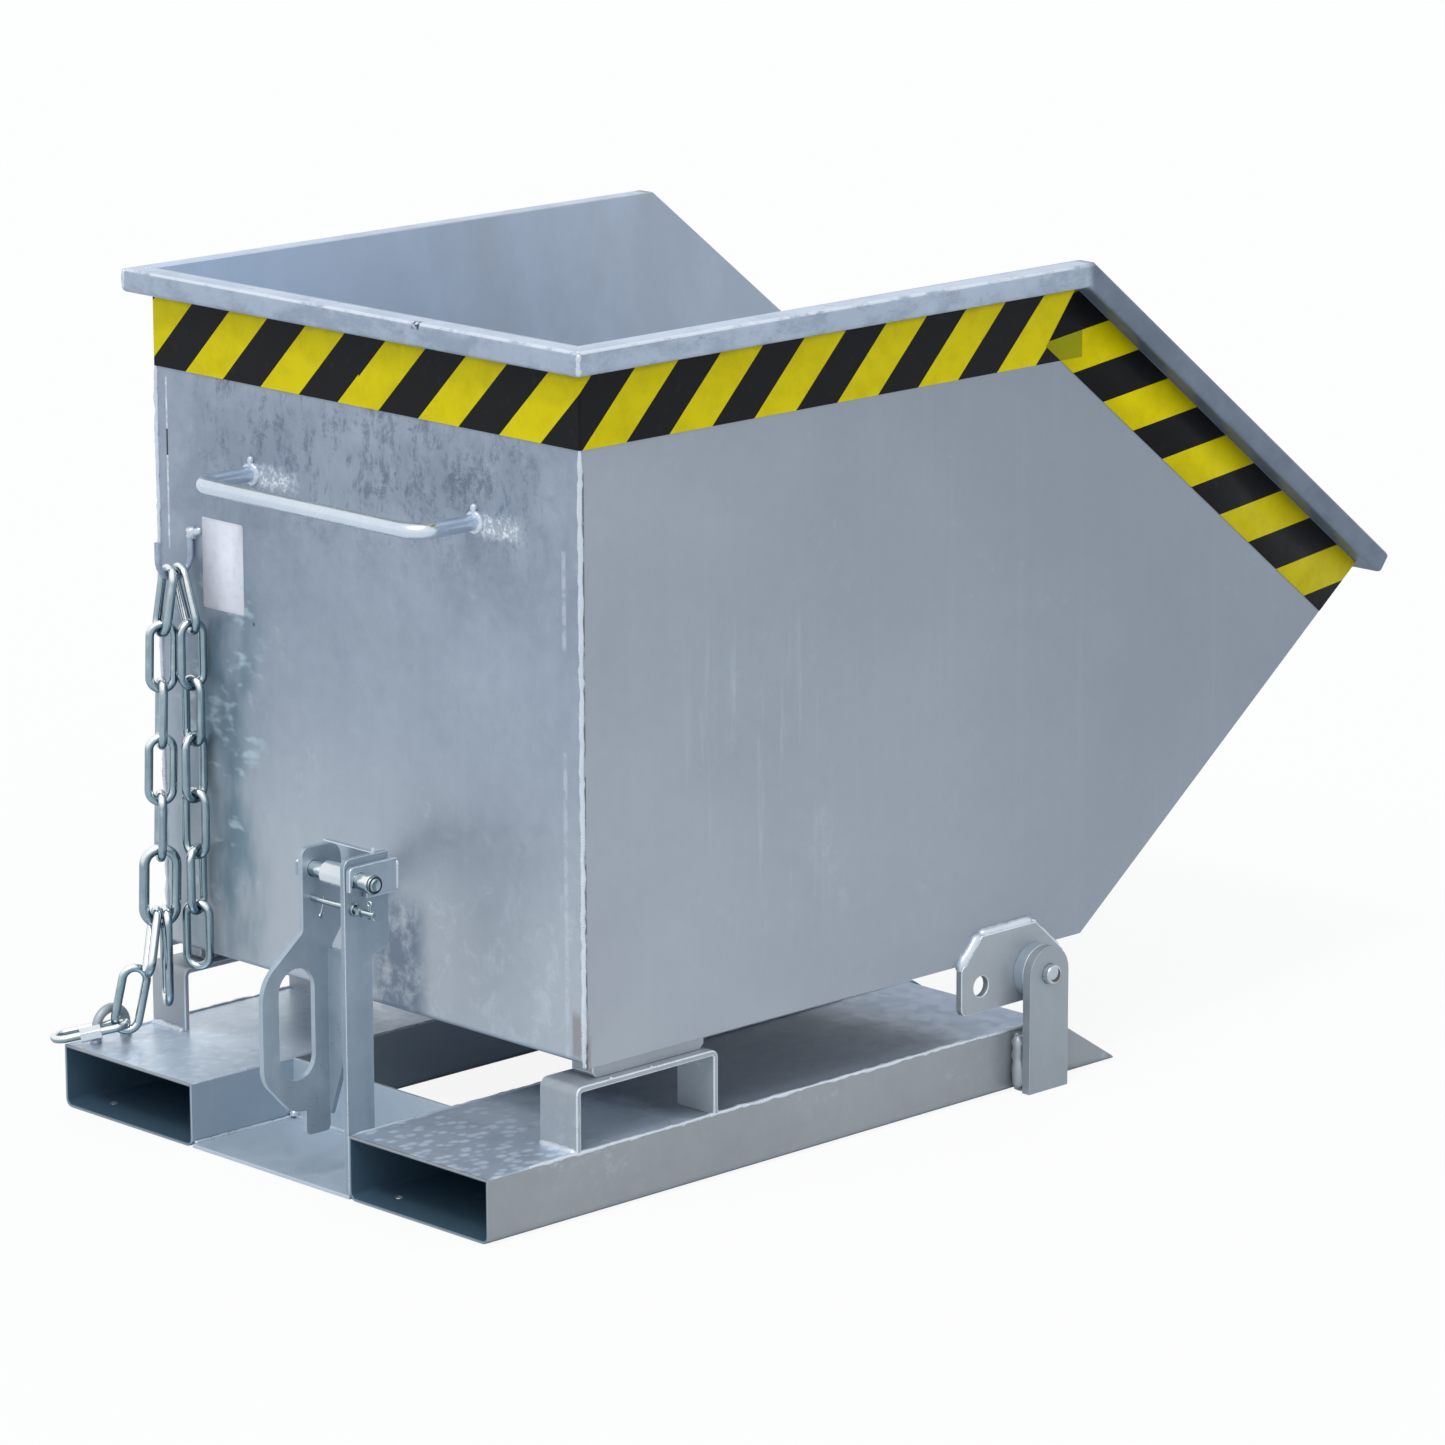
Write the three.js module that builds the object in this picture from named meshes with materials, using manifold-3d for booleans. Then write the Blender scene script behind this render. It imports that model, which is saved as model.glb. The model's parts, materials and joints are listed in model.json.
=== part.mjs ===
// A forklift tipping skip: a galvanised steel bucket that tips over two fork pockets.
// Millimetres. X runs from the fork entry to the pouring lip, Y across, Z up from the ground.
import * as THREE from "three";
import { mergeVertices } from "three/addons/utils/BufferGeometryUtils.js";
import Module from "manifold-3d";

const wasm = await Module();
wasm.setup();

// Clearances
const seamGap = 0.3;
const runningGap = 0.4;
const cutOverrun = 20;
const vertexWeld = 0.0003;

// Fork pockets
const pocketWidth = 203;
const pocketHeight = 66;
const pocketWall = 3;
const pocketBend = 9;
const pocketSpread = 240;
const noseSetback = 8;
const noseClearance = 0.5;
const pocketDrainRadius = 5;
const pocketDrainInset = 34;

// Plates between the pockets
const groundPlateLength = 134;
const groundPlateThickness = 4;
const crossPlateThickness = 4;
const frontCrossInset = 60;

// Rest brackets on the pockets, and the shoes under the bucket that sit on them
const bracketRear = 117;
const bracketLength = 191;
const bracketHeight = 67;
const bracketWidth = 53;
const bracketThickness = 6;
const bracketBend = 9;
const shoeWidth = 30;
const shoeLength = 150;
const shoeBevel = 5;

// Posts and pivot
const pivotSetback = 81;
const pivotHeight = 125;
const postThickness = 10;
const postHalfWidth = 29;
const spacerThickness = 15;
const spacerHalfWidth = 25;
const spacerHeight = 61;
const pinRadius = 10.5;
const pinProud = 8;
const pinBevel = 1.5;
const collarRadius = 29;
const tiltLimit = 70;

// Bucket
const bucketRear = 134;
const bucketFloor = 150;
const bucketHalfWidth = 316;
const sheet = 3;
const sheetBend = 7;
const sideLap = 4;
const floorFront = 841;
const panelAngle = 37.4;
const mouthHeight = 832;
const rimSize = 25;
const rimCorner = 5;
const rimKneeX = 830;
const rimSlope = 38.3;

// Pivot ears on the side walls
const earThickness = 8;
const earDrop = 31;
const earRise = 50;
const earRear = 106;
const earFront = 46;
const earRearChamferX = 31;
const earRearChamferZ = 32;
const earFrontChamferX = 42;
const earFrontChamferZ = 37;
const earCorner = 8;
const lockHoleOffsetX = 77;
const lockHoleDrop = 3.4;
const lockHoleRadius = 11;

// Push handle on the rear wall
const handleHalfSpan = 166.5;
const handleHeight = 666;
const handleReach = 74;
const handleRadius = 8;
const handleBend = 22;

// Latch upright and its lever
const latchPlate = 6;
const latchStemWidth = 35;
const latchHeadWidth = 57;
const latchHeadLow = 250;
const latchHeadStep = 9;
const latchTop = 344;
const latchCorner = 9;
const boltSetback = 15;
const boltHeight = 322;
const boltRadius = 8;
const boltHeadRadius = 13;
const boltHeadLength = 9;
const boltProud = 24;
const boltRingRadius = 10;
const boltRingWidth = 3;
const boltRingInset = 4;
const sleeveRadius = 12;
const sleeveNear = 3;
const sleeveFar = 35;
const leverOffset = 58;
const leverHeadFront = 50;
const leverHeadCorner = 16;
const leverWebX = 31;
const leverWebTop = 238;
const leverWebLowNear = 223;
const leverWebLowFar = 68;
const leverFootLow = 52;
const leverFootHigh = 78;
const gripRear = 54;
const gripHigh = 260;
const gripShoulder = 217;
const gripShoulderBend = 43;
const gripHeel = 117;
const gripSole = 79;
const gripSoleRear = 18;
const gripHeelBend = 30;
const slotRear = 33;
const slotFront = 13;
const slotLow = 111;
const slotHigh = 225;
const lockRodHeight = 293;
const lockRodSetback = 12;
const lockRodRadius = 3;
const lockRodProud = 30;

// Catch bracket on the rear wall
const catchHorn = 5;
const catchHornDrop = 10;
const catchHornFlare = 3;
const catchWebGap = 7.5;
const catchFar = 22;
const catchLow = 303;
const catchTop = 337;
const catchCorner = 6;
const catchArmLow = 262;
const catchArmWallTop = 300;

// Chain hook on the rear wall
const hookY = 261;
const hookRadius = 3.5;
const hookBow = 21.5;
const hookProngTop = 588;
const hookLegTop = 590;
const hookBowHeight = 570.5;

// Eye and quick link on the far pocket
const eyeRadius = 5;
const eyeSpan = 39;
const eyeHeight = 38;
const eyeCentreX = 47;
const eyeEdgeInset = 18;
const quickWire = 4;
const quickBow = 12.5;
const quickLength = 76;
const quickYaw = -35;
const quickPitch = 10;
const quickLegOffset = 6.5;
const quickHeight = 79;
const quickNutFlats = 14;
const quickNutLength = 22;

// Long-link chain
const chainWire = 4.5;
const chainBow = 12.5;
const chainPitch = 59.5;
const joiningWire = 5.5;
const joiningBow = 16.5;
const looseWire = 4.5;
const looseBow = 14;
const looseLength = 100;
const chainFaceYaw = -30;
const chainHookYaw = 76;
const chainLean = 12;
const chainHookStep = 7;
const chainSlack = 0.5;
const firstPull = 8.5;
const strandPull = 1.7;
const lowerAside = 24;
const lowerDrop = 1.5;
const lowerShift = 8;
const strandLean = 20;
const strandFaceYaw = -10;
const strandTurn = 98;
const hookSlack = 0.9;

// Facets
const roundSides = 32;
const wireSides = 8;
const arcSteps = 7;

// Places that follow from the sizes
const inner = pocketSpread / 2;
const outer = inner + pocketWidth;
const floorEdge = bucketFloor - sideLap;
const pivotX = floorFront - pivotSetback;
const wallInner = bucketHalfWidth - sheet;
const chainLength = chainPitch + 2 * chainWire;
const radians = THREE.MathUtils.degToRad;

// Unit vectors in plan and in the side view
const level = (degrees) =>
  new THREE.Vector3(Math.cos(radians(degrees)), Math.sin(radians(degrees)), 0);
const sideView = (degrees) => new THREE.Vector2(Math.cos(radians(degrees)), Math.sin(radians(degrees)));

const zinc = { color: 0x9aa3ab, roughness: 0.5, metalness: 0.85 };
const brightZinc = { color: 0xc3c9cf, roughness: 0.3, metalness: 0.95 };
const darkZinc = { color: 0x84919e, roughness: 0.55, metalness: 0.85 };

// Outlines, solids and meshes

// Points of a closed outline whose corners [x, y, radius] are rounded by their radius.
function rounded(corners) {
  const points = [];
  corners.forEach(([x, y, radius = 0], i) => {
    const corner = new THREE.Vector2(x, y);
    if (!radius) {
      points.push(corner);
      return;
    }
    const before = corners[(i + corners.length - 1) % corners.length];
    const after = corners[(i + 1) % corners.length];
    const back = new THREE.Vector2(before[0], before[1]).sub(corner).normalize();
    const ahead = new THREE.Vector2(after[0], after[1]).sub(corner).normalize();
    const half = Math.acos(THREE.MathUtils.clamp(back.dot(ahead), -1, 1)) / 2;
    const middle = back.clone().add(ahead).normalize();
    const centre = corner.clone().addScaledVector(middle, radius / Math.sin(half));
    const start = corner.clone().addScaledVector(back, radius / Math.tan(half)).sub(centre);
    const turn = (Math.PI - 2 * half) * Math.sign(back.cross(ahead));
    for (let step = 0; step <= arcSteps; step++) {
      const angle = (-turn * step) / arcSteps;
      points.push(start.clone().rotateAround(new THREE.Vector2(), angle).add(centre));
    }
  });
  return points;
}

function circle(x, y, radius, sides = roundSides) {
  return Array.from({ length: sides }, (_, i) => {
    const angle = (2 * Math.PI * i) / sides;
    return new THREE.Vector2(x + radius * Math.cos(angle), y + radius * Math.sin(angle));
  });
}

// A prism of an outline with holes, whose outline axes and depth axis are given.
function prism(points, holes, low, high, across, up, along) {
  const shape = new THREE.Shape(points);
  shape.holes = holes.map((hole) => new THREE.Path(hole));
  const geometry = new THREE.ExtrudeGeometry(shape, { depth: high - low, bevelEnabled: false });
  geometry.translate(0, 0, low);
  return geometry.applyMatrix4(new THREE.Matrix4().makeBasis(across, up, along));
}

const X = new THREE.Vector3(1, 0, 0);
const Y = new THREE.Vector3(0, 1, 0);
const Z = new THREE.Vector3(0, 0, 1);

// Plates that lie in the side view, the end view and the plan.
const sidePlate = (points, low, high, holes = []) =>
  prism(points, holes, -high, -low, X, Z, Y.clone().negate());
const endPlate = (points, low, high, holes = []) => prism(points, holes, low, high, Y, Z, X);
const flatPlate = (points, low, high, holes = []) => prism(points, holes, low, high, X, Y, Z);

const rectangle = (left, low, right, high, radius = 0) => rounded([
  [left, low, radius], [right, low, radius], [right, high, radius], [left, high, radius],
]);

function solid(geometry) {
  const bare = geometry.clone();
  bare.deleteAttribute("normal");
  bare.deleteAttribute("uv");
  const merged = mergeVertices(bare, vertexWeld);
  return new wasm.Manifold(new wasm.Mesh({
    numProp: 3,
    vertProperties: merged.attributes.position.array,
    triVerts: new Uint32Array(merged.index.array),
  }));
}

function shell(body) {
  const data = body.getMesh();
  const geometry = new THREE.BufferGeometry();
  geometry.setAttribute("position", new THREE.BufferAttribute(data.vertProperties, data.numProp));
  geometry.setIndex(new THREE.BufferAttribute(data.triVerts, 1));
  return geometry;
}

const joined = (first, ...others) =>
  shell(others.reduce((body, other) => body.add(solid(other)), solid(first)));
const cutBy = (first, ...others) =>
  shell(others.reduce((body, other) => body.subtract(solid(other)), solid(first)));

function piece(name, geometry, finish) {
  const material = new THREE.MeshStandardMaterial(finish);
  const flat = geometry.index ? geometry.toNonIndexed() : geometry;
  flat.computeVertexNormals();
  const mesh = new THREE.Mesh(flat, material);
  mesh.name = name;
  return mesh;
}

// A round bar along a path that lies in one plane, closed on itself or capped at both ends.
function roundBar(path, planeNormal, radius, closed = false) {
  const rings = path.map((point, i) => {
    const before = path[closed ? (i + path.length - 1) % path.length : Math.max(i - 1, 0)];
    const after = path[closed ? (i + 1) % path.length : Math.min(i + 1, path.length - 1)];
    const inward = point.clone().sub(before).normalize();
    const onward = after.clone().sub(point).normalize();
    const along = inward.clone().add(onward).normalize();
    const stretch = 1 / Math.max(along.dot(inward), along.dot(onward));
    const side = planeNormal.clone().cross(along).normalize();
    return Array.from({ length: wireSides }, (_, j) => {
      const angle = (2 * Math.PI * (j + 1 / 2)) / wireSides;
      return point.clone()
        .addScaledVector(side, radius * stretch * Math.cos(angle))
        .addScaledVector(planeNormal, radius * Math.sin(angle));
    });
  });
  const positions = rings.flat().flatMap((p) => [p.x, p.y, p.z]);
  const index = [];
  const spans = closed ? rings.length : rings.length - 1;
  for (let i = 0; i < spans; i++) {
    for (let j = 0; j < wireSides; j++) {
      const a = i * wireSides + j;
      const b = i * wireSides + ((j + 1) % wireSides);
      const c = ((i + 1) % rings.length) * wireSides + j;
      const d = ((i + 1) % rings.length) * wireSides + ((j + 1) % wireSides);
      index.push(a, c, b, b, c, d);
    }
  }
  if (!closed) {
    const last = (rings.length - 1) * wireSides;
    for (let j = 1; j < wireSides - 1; j++) {
      index.push(0, j, j + 1, last, last + j + 1, last + j);
    }
  }
  const geometry = new THREE.BufferGeometry();
  geometry.setAttribute("position", new THREE.Float32BufferAttribute(positions, 3));
  geometry.setIndex(index);
  return shell(upright(solid(geometry), geometry));
}

// Turns a closed surface right side out.
function upright(body, geometry) {
  if (body.volume() > 0) return body;
  const faces = Array.from(geometry.index.array);
  const turned = geometry.clone();
  turned.setIndex(faces.map((_, i) => faces[i - (i % 3) + [0, 2, 1][i % 3]]));
  return solid(turned);
}

// An arc of a path in the plane of two unit vectors.
function arc(centre, radius, first, second, from, to, steps = arcSteps) {
  return Array.from({ length: steps + 1 }, (_, i) => {
    const angle = radians(from + ((to - from) * i) / steps);
    return centre.clone()
      .addScaledVector(first, radius * Math.cos(angle))
      .addScaledVector(second, radius * Math.sin(angle));
  });
}

// A link: two straight sides joined by half circles, of the given centreline length.
function link(centre, along, across, length, bow, wire) {
  const lengthwise = along.clone().normalize();
  const sideways = across.clone().addScaledVector(lengthwise, -across.dot(lengthwise)).normalize();
  const normal = lengthwise.clone().cross(sideways);
  const reach = length / 2 - bow;
  const head = centre.clone().addScaledVector(lengthwise, reach);
  const foot = centre.clone().addScaledVector(lengthwise, -reach);
  const path = [
    ...arc(head, bow, sideways, lengthwise, 0, 180),
    ...arc(foot, bow, sideways, lengthwise, 180, 360),
  ];
  return roundBar(path, normal, wire, true);
}

// Places on both sides of the centre plane: side is 1 for the left (far) half, -1 for the right.
const sides = [["left", 1], ["right", -1]];
const span = (side, near, far) => [Math.min(side * near, side * far), Math.max(side * near, side * far)];

// Fork pockets, cut at the nose to the slant that the tipped front panel comes down on
const panelNormal = sideView(panelAngle + 90);
const panelDepth = panelNormal.dot(new THREE.Vector2(pivotX - floorFront, pivotHeight - floorEdge));
const noseAngle = tiltLimit - panelAngle;
const noseDepth = panelDepth + noseClearance;
const noseX = (height) => {
  const foot = new THREE.Vector2(pivotX, pivotHeight)
    .addScaledVector(sideView(90 - noseAngle), -noseDepth);
  return foot.x + (foot.y - height) / Math.tan(radians(noseAngle));
};

function pocketChannel(side) {
  const bend = pocketBend - pocketWall;
  const [near, far] = span(side, inner, outer);
  const section = rounded([
    [near, 0, pocketBend], [far, 0, pocketBend], [far, pocketHeight],
    [far - pocketWall, pocketHeight], [far - pocketWall, pocketWall, bend],
    [near + pocketWall, pocketWall, bend], [near + pocketWall, pocketHeight], [near, pocketHeight],
  ]);
  const slant = sidePlate([
    new THREE.Vector2(noseX(pocketHeight), pocketHeight),
    new THREE.Vector2(noseX(0), 0),
    new THREE.Vector2(noseX(0) + pocketHeight, 0),
    new THREE.Vector2(noseX(0) + pocketHeight, pocketHeight),
  ], near - cutOverrun, far + cutOverrun);
  const drains = [near + pocketDrainInset, far - pocketDrainInset].map((y) =>
    flatPlate(circle(pocketDrainInset, y, pocketDrainRadius, wireSides), -pocketWall, 2 * pocketWall));
  return cutBy(endPlate(section, 0, noseX(0)), slant, ...drains);
}

const pocketTop = (side) => {
  const edge = pocketWall + seamGap;
  const [near, far] = span(side, inner + edge, outer - edge);
  return flatPlate(rectangle(0, near, noseX(pocketHeight) - noseSetback, far),
    pocketHeight - pocketWall, pocketHeight);
};

// Rest brackets: a flat bar folded over a gap, its open sides facing across
const bracketTop = pocketHeight + bracketHeight;
function restBracket(side) {
  const front = bracketRear + bracketLength;
  const bend = bracketBend - bracketThickness;
  const fold = rounded([
    [bracketRear, pocketHeight], [bracketRear + bracketThickness, pocketHeight],
    [bracketRear + bracketThickness, bracketTop - bracketThickness, bend],
    [front - bracketThickness, bracketTop - bracketThickness, bend],
    [front - bracketThickness, pocketHeight], [front, pocketHeight],
    [front, bracketTop, bracketBend], [bracketRear, bracketTop, bracketBend],
  ]);
  return sidePlate(fold, ...span(side, outer - bracketWidth, outer));
}

// Posts, spacers, collars and pins of the two pivots
const postInner = outer + spacerThickness;
const postOuter = postInner + postThickness;
const earOuter = bucketHalfWidth + earThickness;

function post(side) {
  const plate = rounded([
    [pivotX - postHalfWidth, 0], [pivotX + postHalfWidth, 0],
    [pivotX + postHalfWidth, pivotHeight + postHalfWidth, postHalfWidth],
    [pivotX - postHalfWidth, pivotHeight + postHalfWidth, postHalfWidth],
  ]);
  const hole = circle(pivotX, pivotHeight, pinRadius + runningGap);
  return sidePlate(plate, ...span(side, postInner, postOuter), [hole]);
}

const spacer = (side) => sidePlate(
  rectangle(pivotX - spacerHalfWidth, 0, pivotX + spacerHalfWidth, spacerHeight),
  ...span(side, outer, postInner));

const collar = (side) => sidePlate(circle(pivotX, pivotHeight, collarRadius),
  ...span(side, earOuter + seamGap, postInner - seamGap),
  [circle(pivotX, pivotHeight, pinRadius + runningGap)]);

function pivotPin(side) {
  const inside = bucketHalfWidth + seamGap;
  const outside = postOuter + pinProud;
  const profile = [
    [0, inside], [pinRadius, inside], [pinRadius, outside - pinBevel],
    [pinRadius - pinBevel, outside], [0, outside],
  ].map(([radius, y]) => new THREE.Vector2(radius, y));
  const pin = new THREE.LatheGeometry(profile, roundSides);
  pin.rotateX(side > 0 ? 0 : Math.PI);
  return pin.translate(pivotX, 0, pivotHeight);
}

// Bucket sheet: rear wall, floor and front panel folded from one plate
const slopeAlong = sideView(-rimSlope);
const slopeUp = sideView(90 - rimSlope);
const rimTop = mouthHeight + rimSize;
const slopeFoot = new THREE.Vector2(rimKneeX, rimTop).addScaledVector(slopeUp, -rimSize);

// Where the line of the front panel, lifted by some depth, meets the underside of the sloping rim
function lipPoint(depth) {
  const start = new THREE.Vector2(floorFront, floorEdge).addScaledVector(panelNormal, depth);
  const along = sideView(panelAngle);
  const gap = slopeFoot.clone().sub(start);
  return start.addScaledVector(along, gap.cross(slopeAlong) / along.cross(slopeAlong));
}

// The same line at a given height
function panelPoint(depth, height) {
  const start = new THREE.Vector2(floorFront, floorEdge).addScaledVector(panelNormal, depth);
  return start.x + (height - start.y) / Math.tan(radians(panelAngle));
}

function wrapSheet() {
  const outside = lipPoint(sideLap);
  const inside = lipPoint(sideLap + sheet);
  const bend = sheetBend - sheet;
  const inset = seamGap * slopeAlong.y;
  const fold = rounded([
    [bucketRear, rimTop], [bucketRear, bucketFloor, sheetBend],
    [panelPoint(sideLap, bucketFloor), bucketFloor, sheetBend],
    [outside.x + inset, outside.y + inset], [inside.x + inset, inside.y + inset],
    [panelPoint(sideLap + sheet, bucketFloor + sheet), bucketFloor + sheet, bend],
    [bucketRear + sheet, bucketFloor + sheet, bend], [bucketRear + sheet, rimTop],
  ]);
  return sidePlate(fold, -wallInner, wallInner);
}

// A side wall rises inside the rim bars to their top, and stops behind the bar on the lip.
function sideWall(side) {
  const lip = lipPoint(0).addScaledVector(slopeUp, -seamGap);
  const behindLip = lipPoint(sideLap + sheet).addScaledVector(slopeAlong, -seamGap);
  const under = behindLip.clone().addScaledVector(slopeUp, -seamGap);
  const over = behindLip.clone().addScaledVector(slopeUp, rimSize);
  const outline = rounded([
    [bucketRear, floorEdge, sheet], [floorFront, floorEdge], [lip.x, lip.y],
    [under.x, under.y], [over.x, over.y], [rimKneeX, rimTop], [bucketRear, rimTop],
  ]);
  return sidePlate(outline, ...span(side, wallInner, bucketHalfWidth));
}

// Rim bars: square tubes with rounded edges, mitred where they meet, outside the sheets' top edges
const rimHalf = rimSize / 2;
const rimLine = wallInner + rimHalf;
const rimRear = new THREE.Vector3(bucketRear + sheet - rimHalf, 0, mouthHeight + rimHalf);
const rimSlant = slopeFoot.clone().addScaledVector(slopeUp, rimHalf);
const rimKnee = new THREE.Vector3(
  rimSlant.x - (rimRear.z - rimSlant.y) / Math.tan(radians(rimSlope)), 0, rimRear.z);
const lipEdge = lipPoint(sideLap + sheet).addScaledVector(slopeAlong, rimHalf)
  .addScaledVector(slopeUp, rimHalf);
const rimLip = new THREE.Vector3(lipEdge.x, 0, lipEdge.y);

// A straight bar from one mitre plane to another; up is the bar's own upward direction, and lap
// is 1 or -1 where a sheet's top edge takes the place of the bar's inner side, 0 for a whole bar.
function mitredBar(start, end, startNormal, endNormal, up, lap) {
  const along = end.clone().sub(start).normalize();
  const across = up.clone().cross(along).normalize().multiplyScalar(lap || 1);
  const inward = lap ? sheet + seamGap - rimHalf : -rimHalf;
  const innerCorner = lap ? 0 : rimCorner;
  const section = rounded([
    [inward, -rimHalf, innerCorner], [rimHalf, -rimHalf, rimCorner],
    [rimHalf, rimHalf, rimCorner], [inward, rimHalf, innerCorner],
  ]);
  const onPlane = (point, origin, normal) =>
    point.clone().addScaledVector(along, origin.clone().sub(point).dot(normal) / along.dot(normal));
  const from = start.clone().addScaledVector(along, seamGap / 2);
  const to = end.clone().addScaledVector(along, -seamGap / 2);
  const ring = (origin, normal) => section.map((corner) => onPlane(
    start.clone().addScaledVector(across, corner.x).addScaledVector(up, corner.y), origin, normal));
  const points = [...ring(from, startNormal), ...ring(to, endNormal)];
  const count = section.length;
  const index = [];
  THREE.ShapeUtils.triangulateShape(section, []).forEach(([a, b, c]) => {
    index.push(a, c, b, a + count, b + count, c + count);
  });
  for (let i = 0; i < count; i++) {
    const next = (i + 1) % count;
    index.push(i, next, i + count, next, next + count, i + count);
  }
  const geometry = new THREE.BufferGeometry();
  geometry.setAttribute("position",
    new THREE.Float32BufferAttribute(points.flatMap((p) => [p.x, p.y, p.z]), 3));
  geometry.setIndex(index);
  return shell(upright(solid(geometry), geometry));
}

const onSide = (point, side) => new THREE.Vector3(point.x, side * rimLine, point.z);
const slopeDown = new THREE.Vector3(slopeAlong.x, 0, slopeAlong.y);
const slopeTop = new THREE.Vector3(slopeUp.x, 0, slopeUp.y);

const rimBars = () => [
  ["rim_rear", mitredBar(onSide(rimRear, -1), onSide(rimRear, 1),
    X.clone().sub(Y), X.clone().add(Y), Z, 1)],
  ...sides.map(([name, side]) => [`rim_top_${name}`, mitredBar(onSide(rimRear, side),
    onSide(rimKnee, side), X.clone().addScaledVector(Y, side), X.clone().add(slopeDown), Z, side)]),
  ...sides.map(([name, side]) => [`rim_slope_${name}`, mitredBar(onSide(rimKnee, side),
    onSide(rimLip, side), X.clone().add(slopeDown), slopeDown.clone().addScaledVector(Y, -side),
    slopeTop, side)]),
  ["rim_lip", mitredBar(onSide(rimLip, -1), onSide(rimLip, 1),
    slopeDown.clone().add(Y), slopeDown.clone().sub(Y), slopeTop, 0)],
];

// Pivot ear with its spare lock hole, lapped on the side wall
function ear(side) {
  const low = pivotHeight - earDrop;
  const high = pivotHeight + earRise;
  const rear = pivotX - earRear;
  const front = pivotX + earFront;
  const outline = rounded([
    [rear, low, earCorner], [front, low, earCorner], [front, high - earFrontChamferZ],
    [front - earFrontChamferX, high], [rear + earRearChamferX, high],
    [rear, high - earRearChamferZ],
  ]);
  const bore = circle(pivotX, pivotHeight, pinRadius + runningGap);
  const lock = circle(pivotX - lockHoleOffsetX, pivotHeight - lockHoleDrop, lockHoleRadius, 16);
  return sidePlate(outline, ...span(side, bucketHalfWidth, earOuter), [bore, lock]);
}

const restShoe = (side) => {
  const middle = outer - bracketWidth / 2;
  const low = bracketTop + seamGap;
  const front = bracketRear + bracketLength - bracketBend;
  return sidePlate(rounded([
    [front - shoeLength, low + shoeBevel], [front - shoeLength + shoeBevel, low],
    [front - shoeBevel, low], [front, low + shoeBevel],
    [front, bucketFloor], [front - shoeLength, bucketFloor],
  ]), ...span(side, middle - shoeWidth / 2, middle + shoeWidth / 2));
};

function pushHandle() {
  const bar = bucketRear - handleReach;
  const corner = handleHalfSpan - handleBend;
  const centre = (side) => new THREE.Vector3(bar + handleBend, side * corner, handleHeight);
  const foot = (side) => new THREE.Vector3(bucketRear - seamGap, side * handleHalfSpan, handleHeight);
  const west = X.clone().negate();
  return roundBar([
    foot(-1), ...arc(centre(-1), handleBend, Y.clone().negate(), west, 0, 90),
    ...arc(centre(1), handleBend, west, Y, 0, 90), foot(1),
  ], Z, handleRadius);
}

// Latch upright, welded on the inner side of the right pocket and on the ground plate
const uprightFace = -(inner - latchPlate);
function latchUpright() {
  const outline = rounded([
    [0, groundPlateThickness], [latchStemWidth, groundPlateThickness],
    [latchStemWidth, latchHeadLow - latchHeadStep], [latchHeadWidth, latchHeadLow],
    [latchHeadWidth, latchTop], [0, latchTop, latchCorner],
  ]);
  return sidePlate(outline, -inner, uprightFace, [
    circle(boltSetback, boltHeight, boltRadius + runningGap),
    circle(lockRodSetback, lockRodHeight, lockRodRadius + runningGap, 12),
  ]);
}

// Latch lever: head, D-shaped grip with its hand slot, foot, and the folded web beside it
const leverNear = -leverOffset;
const leverFar = leverNear + latchPlate;
function latchLever() {
  const stem = leverWebX + latchPlate;
  const plate = rounded([
    [0, leverFootLow, latchPlate], [leverWebX, leverFootLow, latchPlate],
    [leverWebX, leverWebLowFar], [stem, leverWebLowFar],
    [stem, latchHeadLow - latchHeadStep, latchCorner],
    [leverHeadFront, latchHeadLow + latchHeadStep, latchCorner],
    [leverHeadFront, latchTop, leverHeadCorner], [0, latchTop, latchCorner],
    [0, gripHigh, latchCorner], [-gripRear, gripShoulder, gripShoulderBend],
    [-gripRear, gripHeel, gripHeelBend], [-gripSoleRear, gripSole, gripHeelBend],
    [0, leverFootHigh],
  ]);
  const slotRadius = (slotRear + slotFront) / 2;
  const slot = rectangle(-slotRear, slotLow, slotFront, slotHigh, slotRadius - seamGap);
  const bore = circle(boltSetback, boltHeight, boltRadius + runningGap);
  const web = endPlate(rounded([
    [leverNear, leverWebLowFar], [leverNear, leverWebTop],
    [uprightFace + seamGap, leverWebTop], [uprightFace + seamGap, leverWebLowNear],
  ]), leverWebX, leverWebX + latchPlate);
  return joined(sidePlate(plate, leverNear, leverFar, [slot, bore]), web);
}

// Bolt through upright, sleeve and lever, with its head on the far side and a ring near its end
const catchNear = -(inner + runningGap + latchPlate);
function latchBolt() {
  const end = catchNear - boltProud;
  const headInner = leverFar + seamGap;
  const shank = sidePlate(circle(boltSetback, boltHeight, boltRadius),
    end, headInner + boltHeadLength / 2);
  const head = sidePlate(circle(boltSetback, boltHeight, boltHeadRadius, 6),
    headInner, headInner + boltHeadLength);
  const ring = sidePlate(circle(boltSetback, boltHeight, boltRingRadius),
    end + boltRingInset, end + boltRingInset + boltRingWidth);
  return joined(shank, head, ring);
}

const latchSleeve = () => sidePlate(circle(boltSetback, boltHeight, sleeveRadius),
  uprightFace + sleeveNear, uprightFace + sleeveFar,
  [circle(boltSetback, boltHeight, boltRadius + runningGap)]);

const lockRod = () => sidePlate(circle(lockRodSetback, lockRodHeight, lockRodRadius, 12),
  -inner - lockRodProud, leverNear - seamGap);

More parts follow.
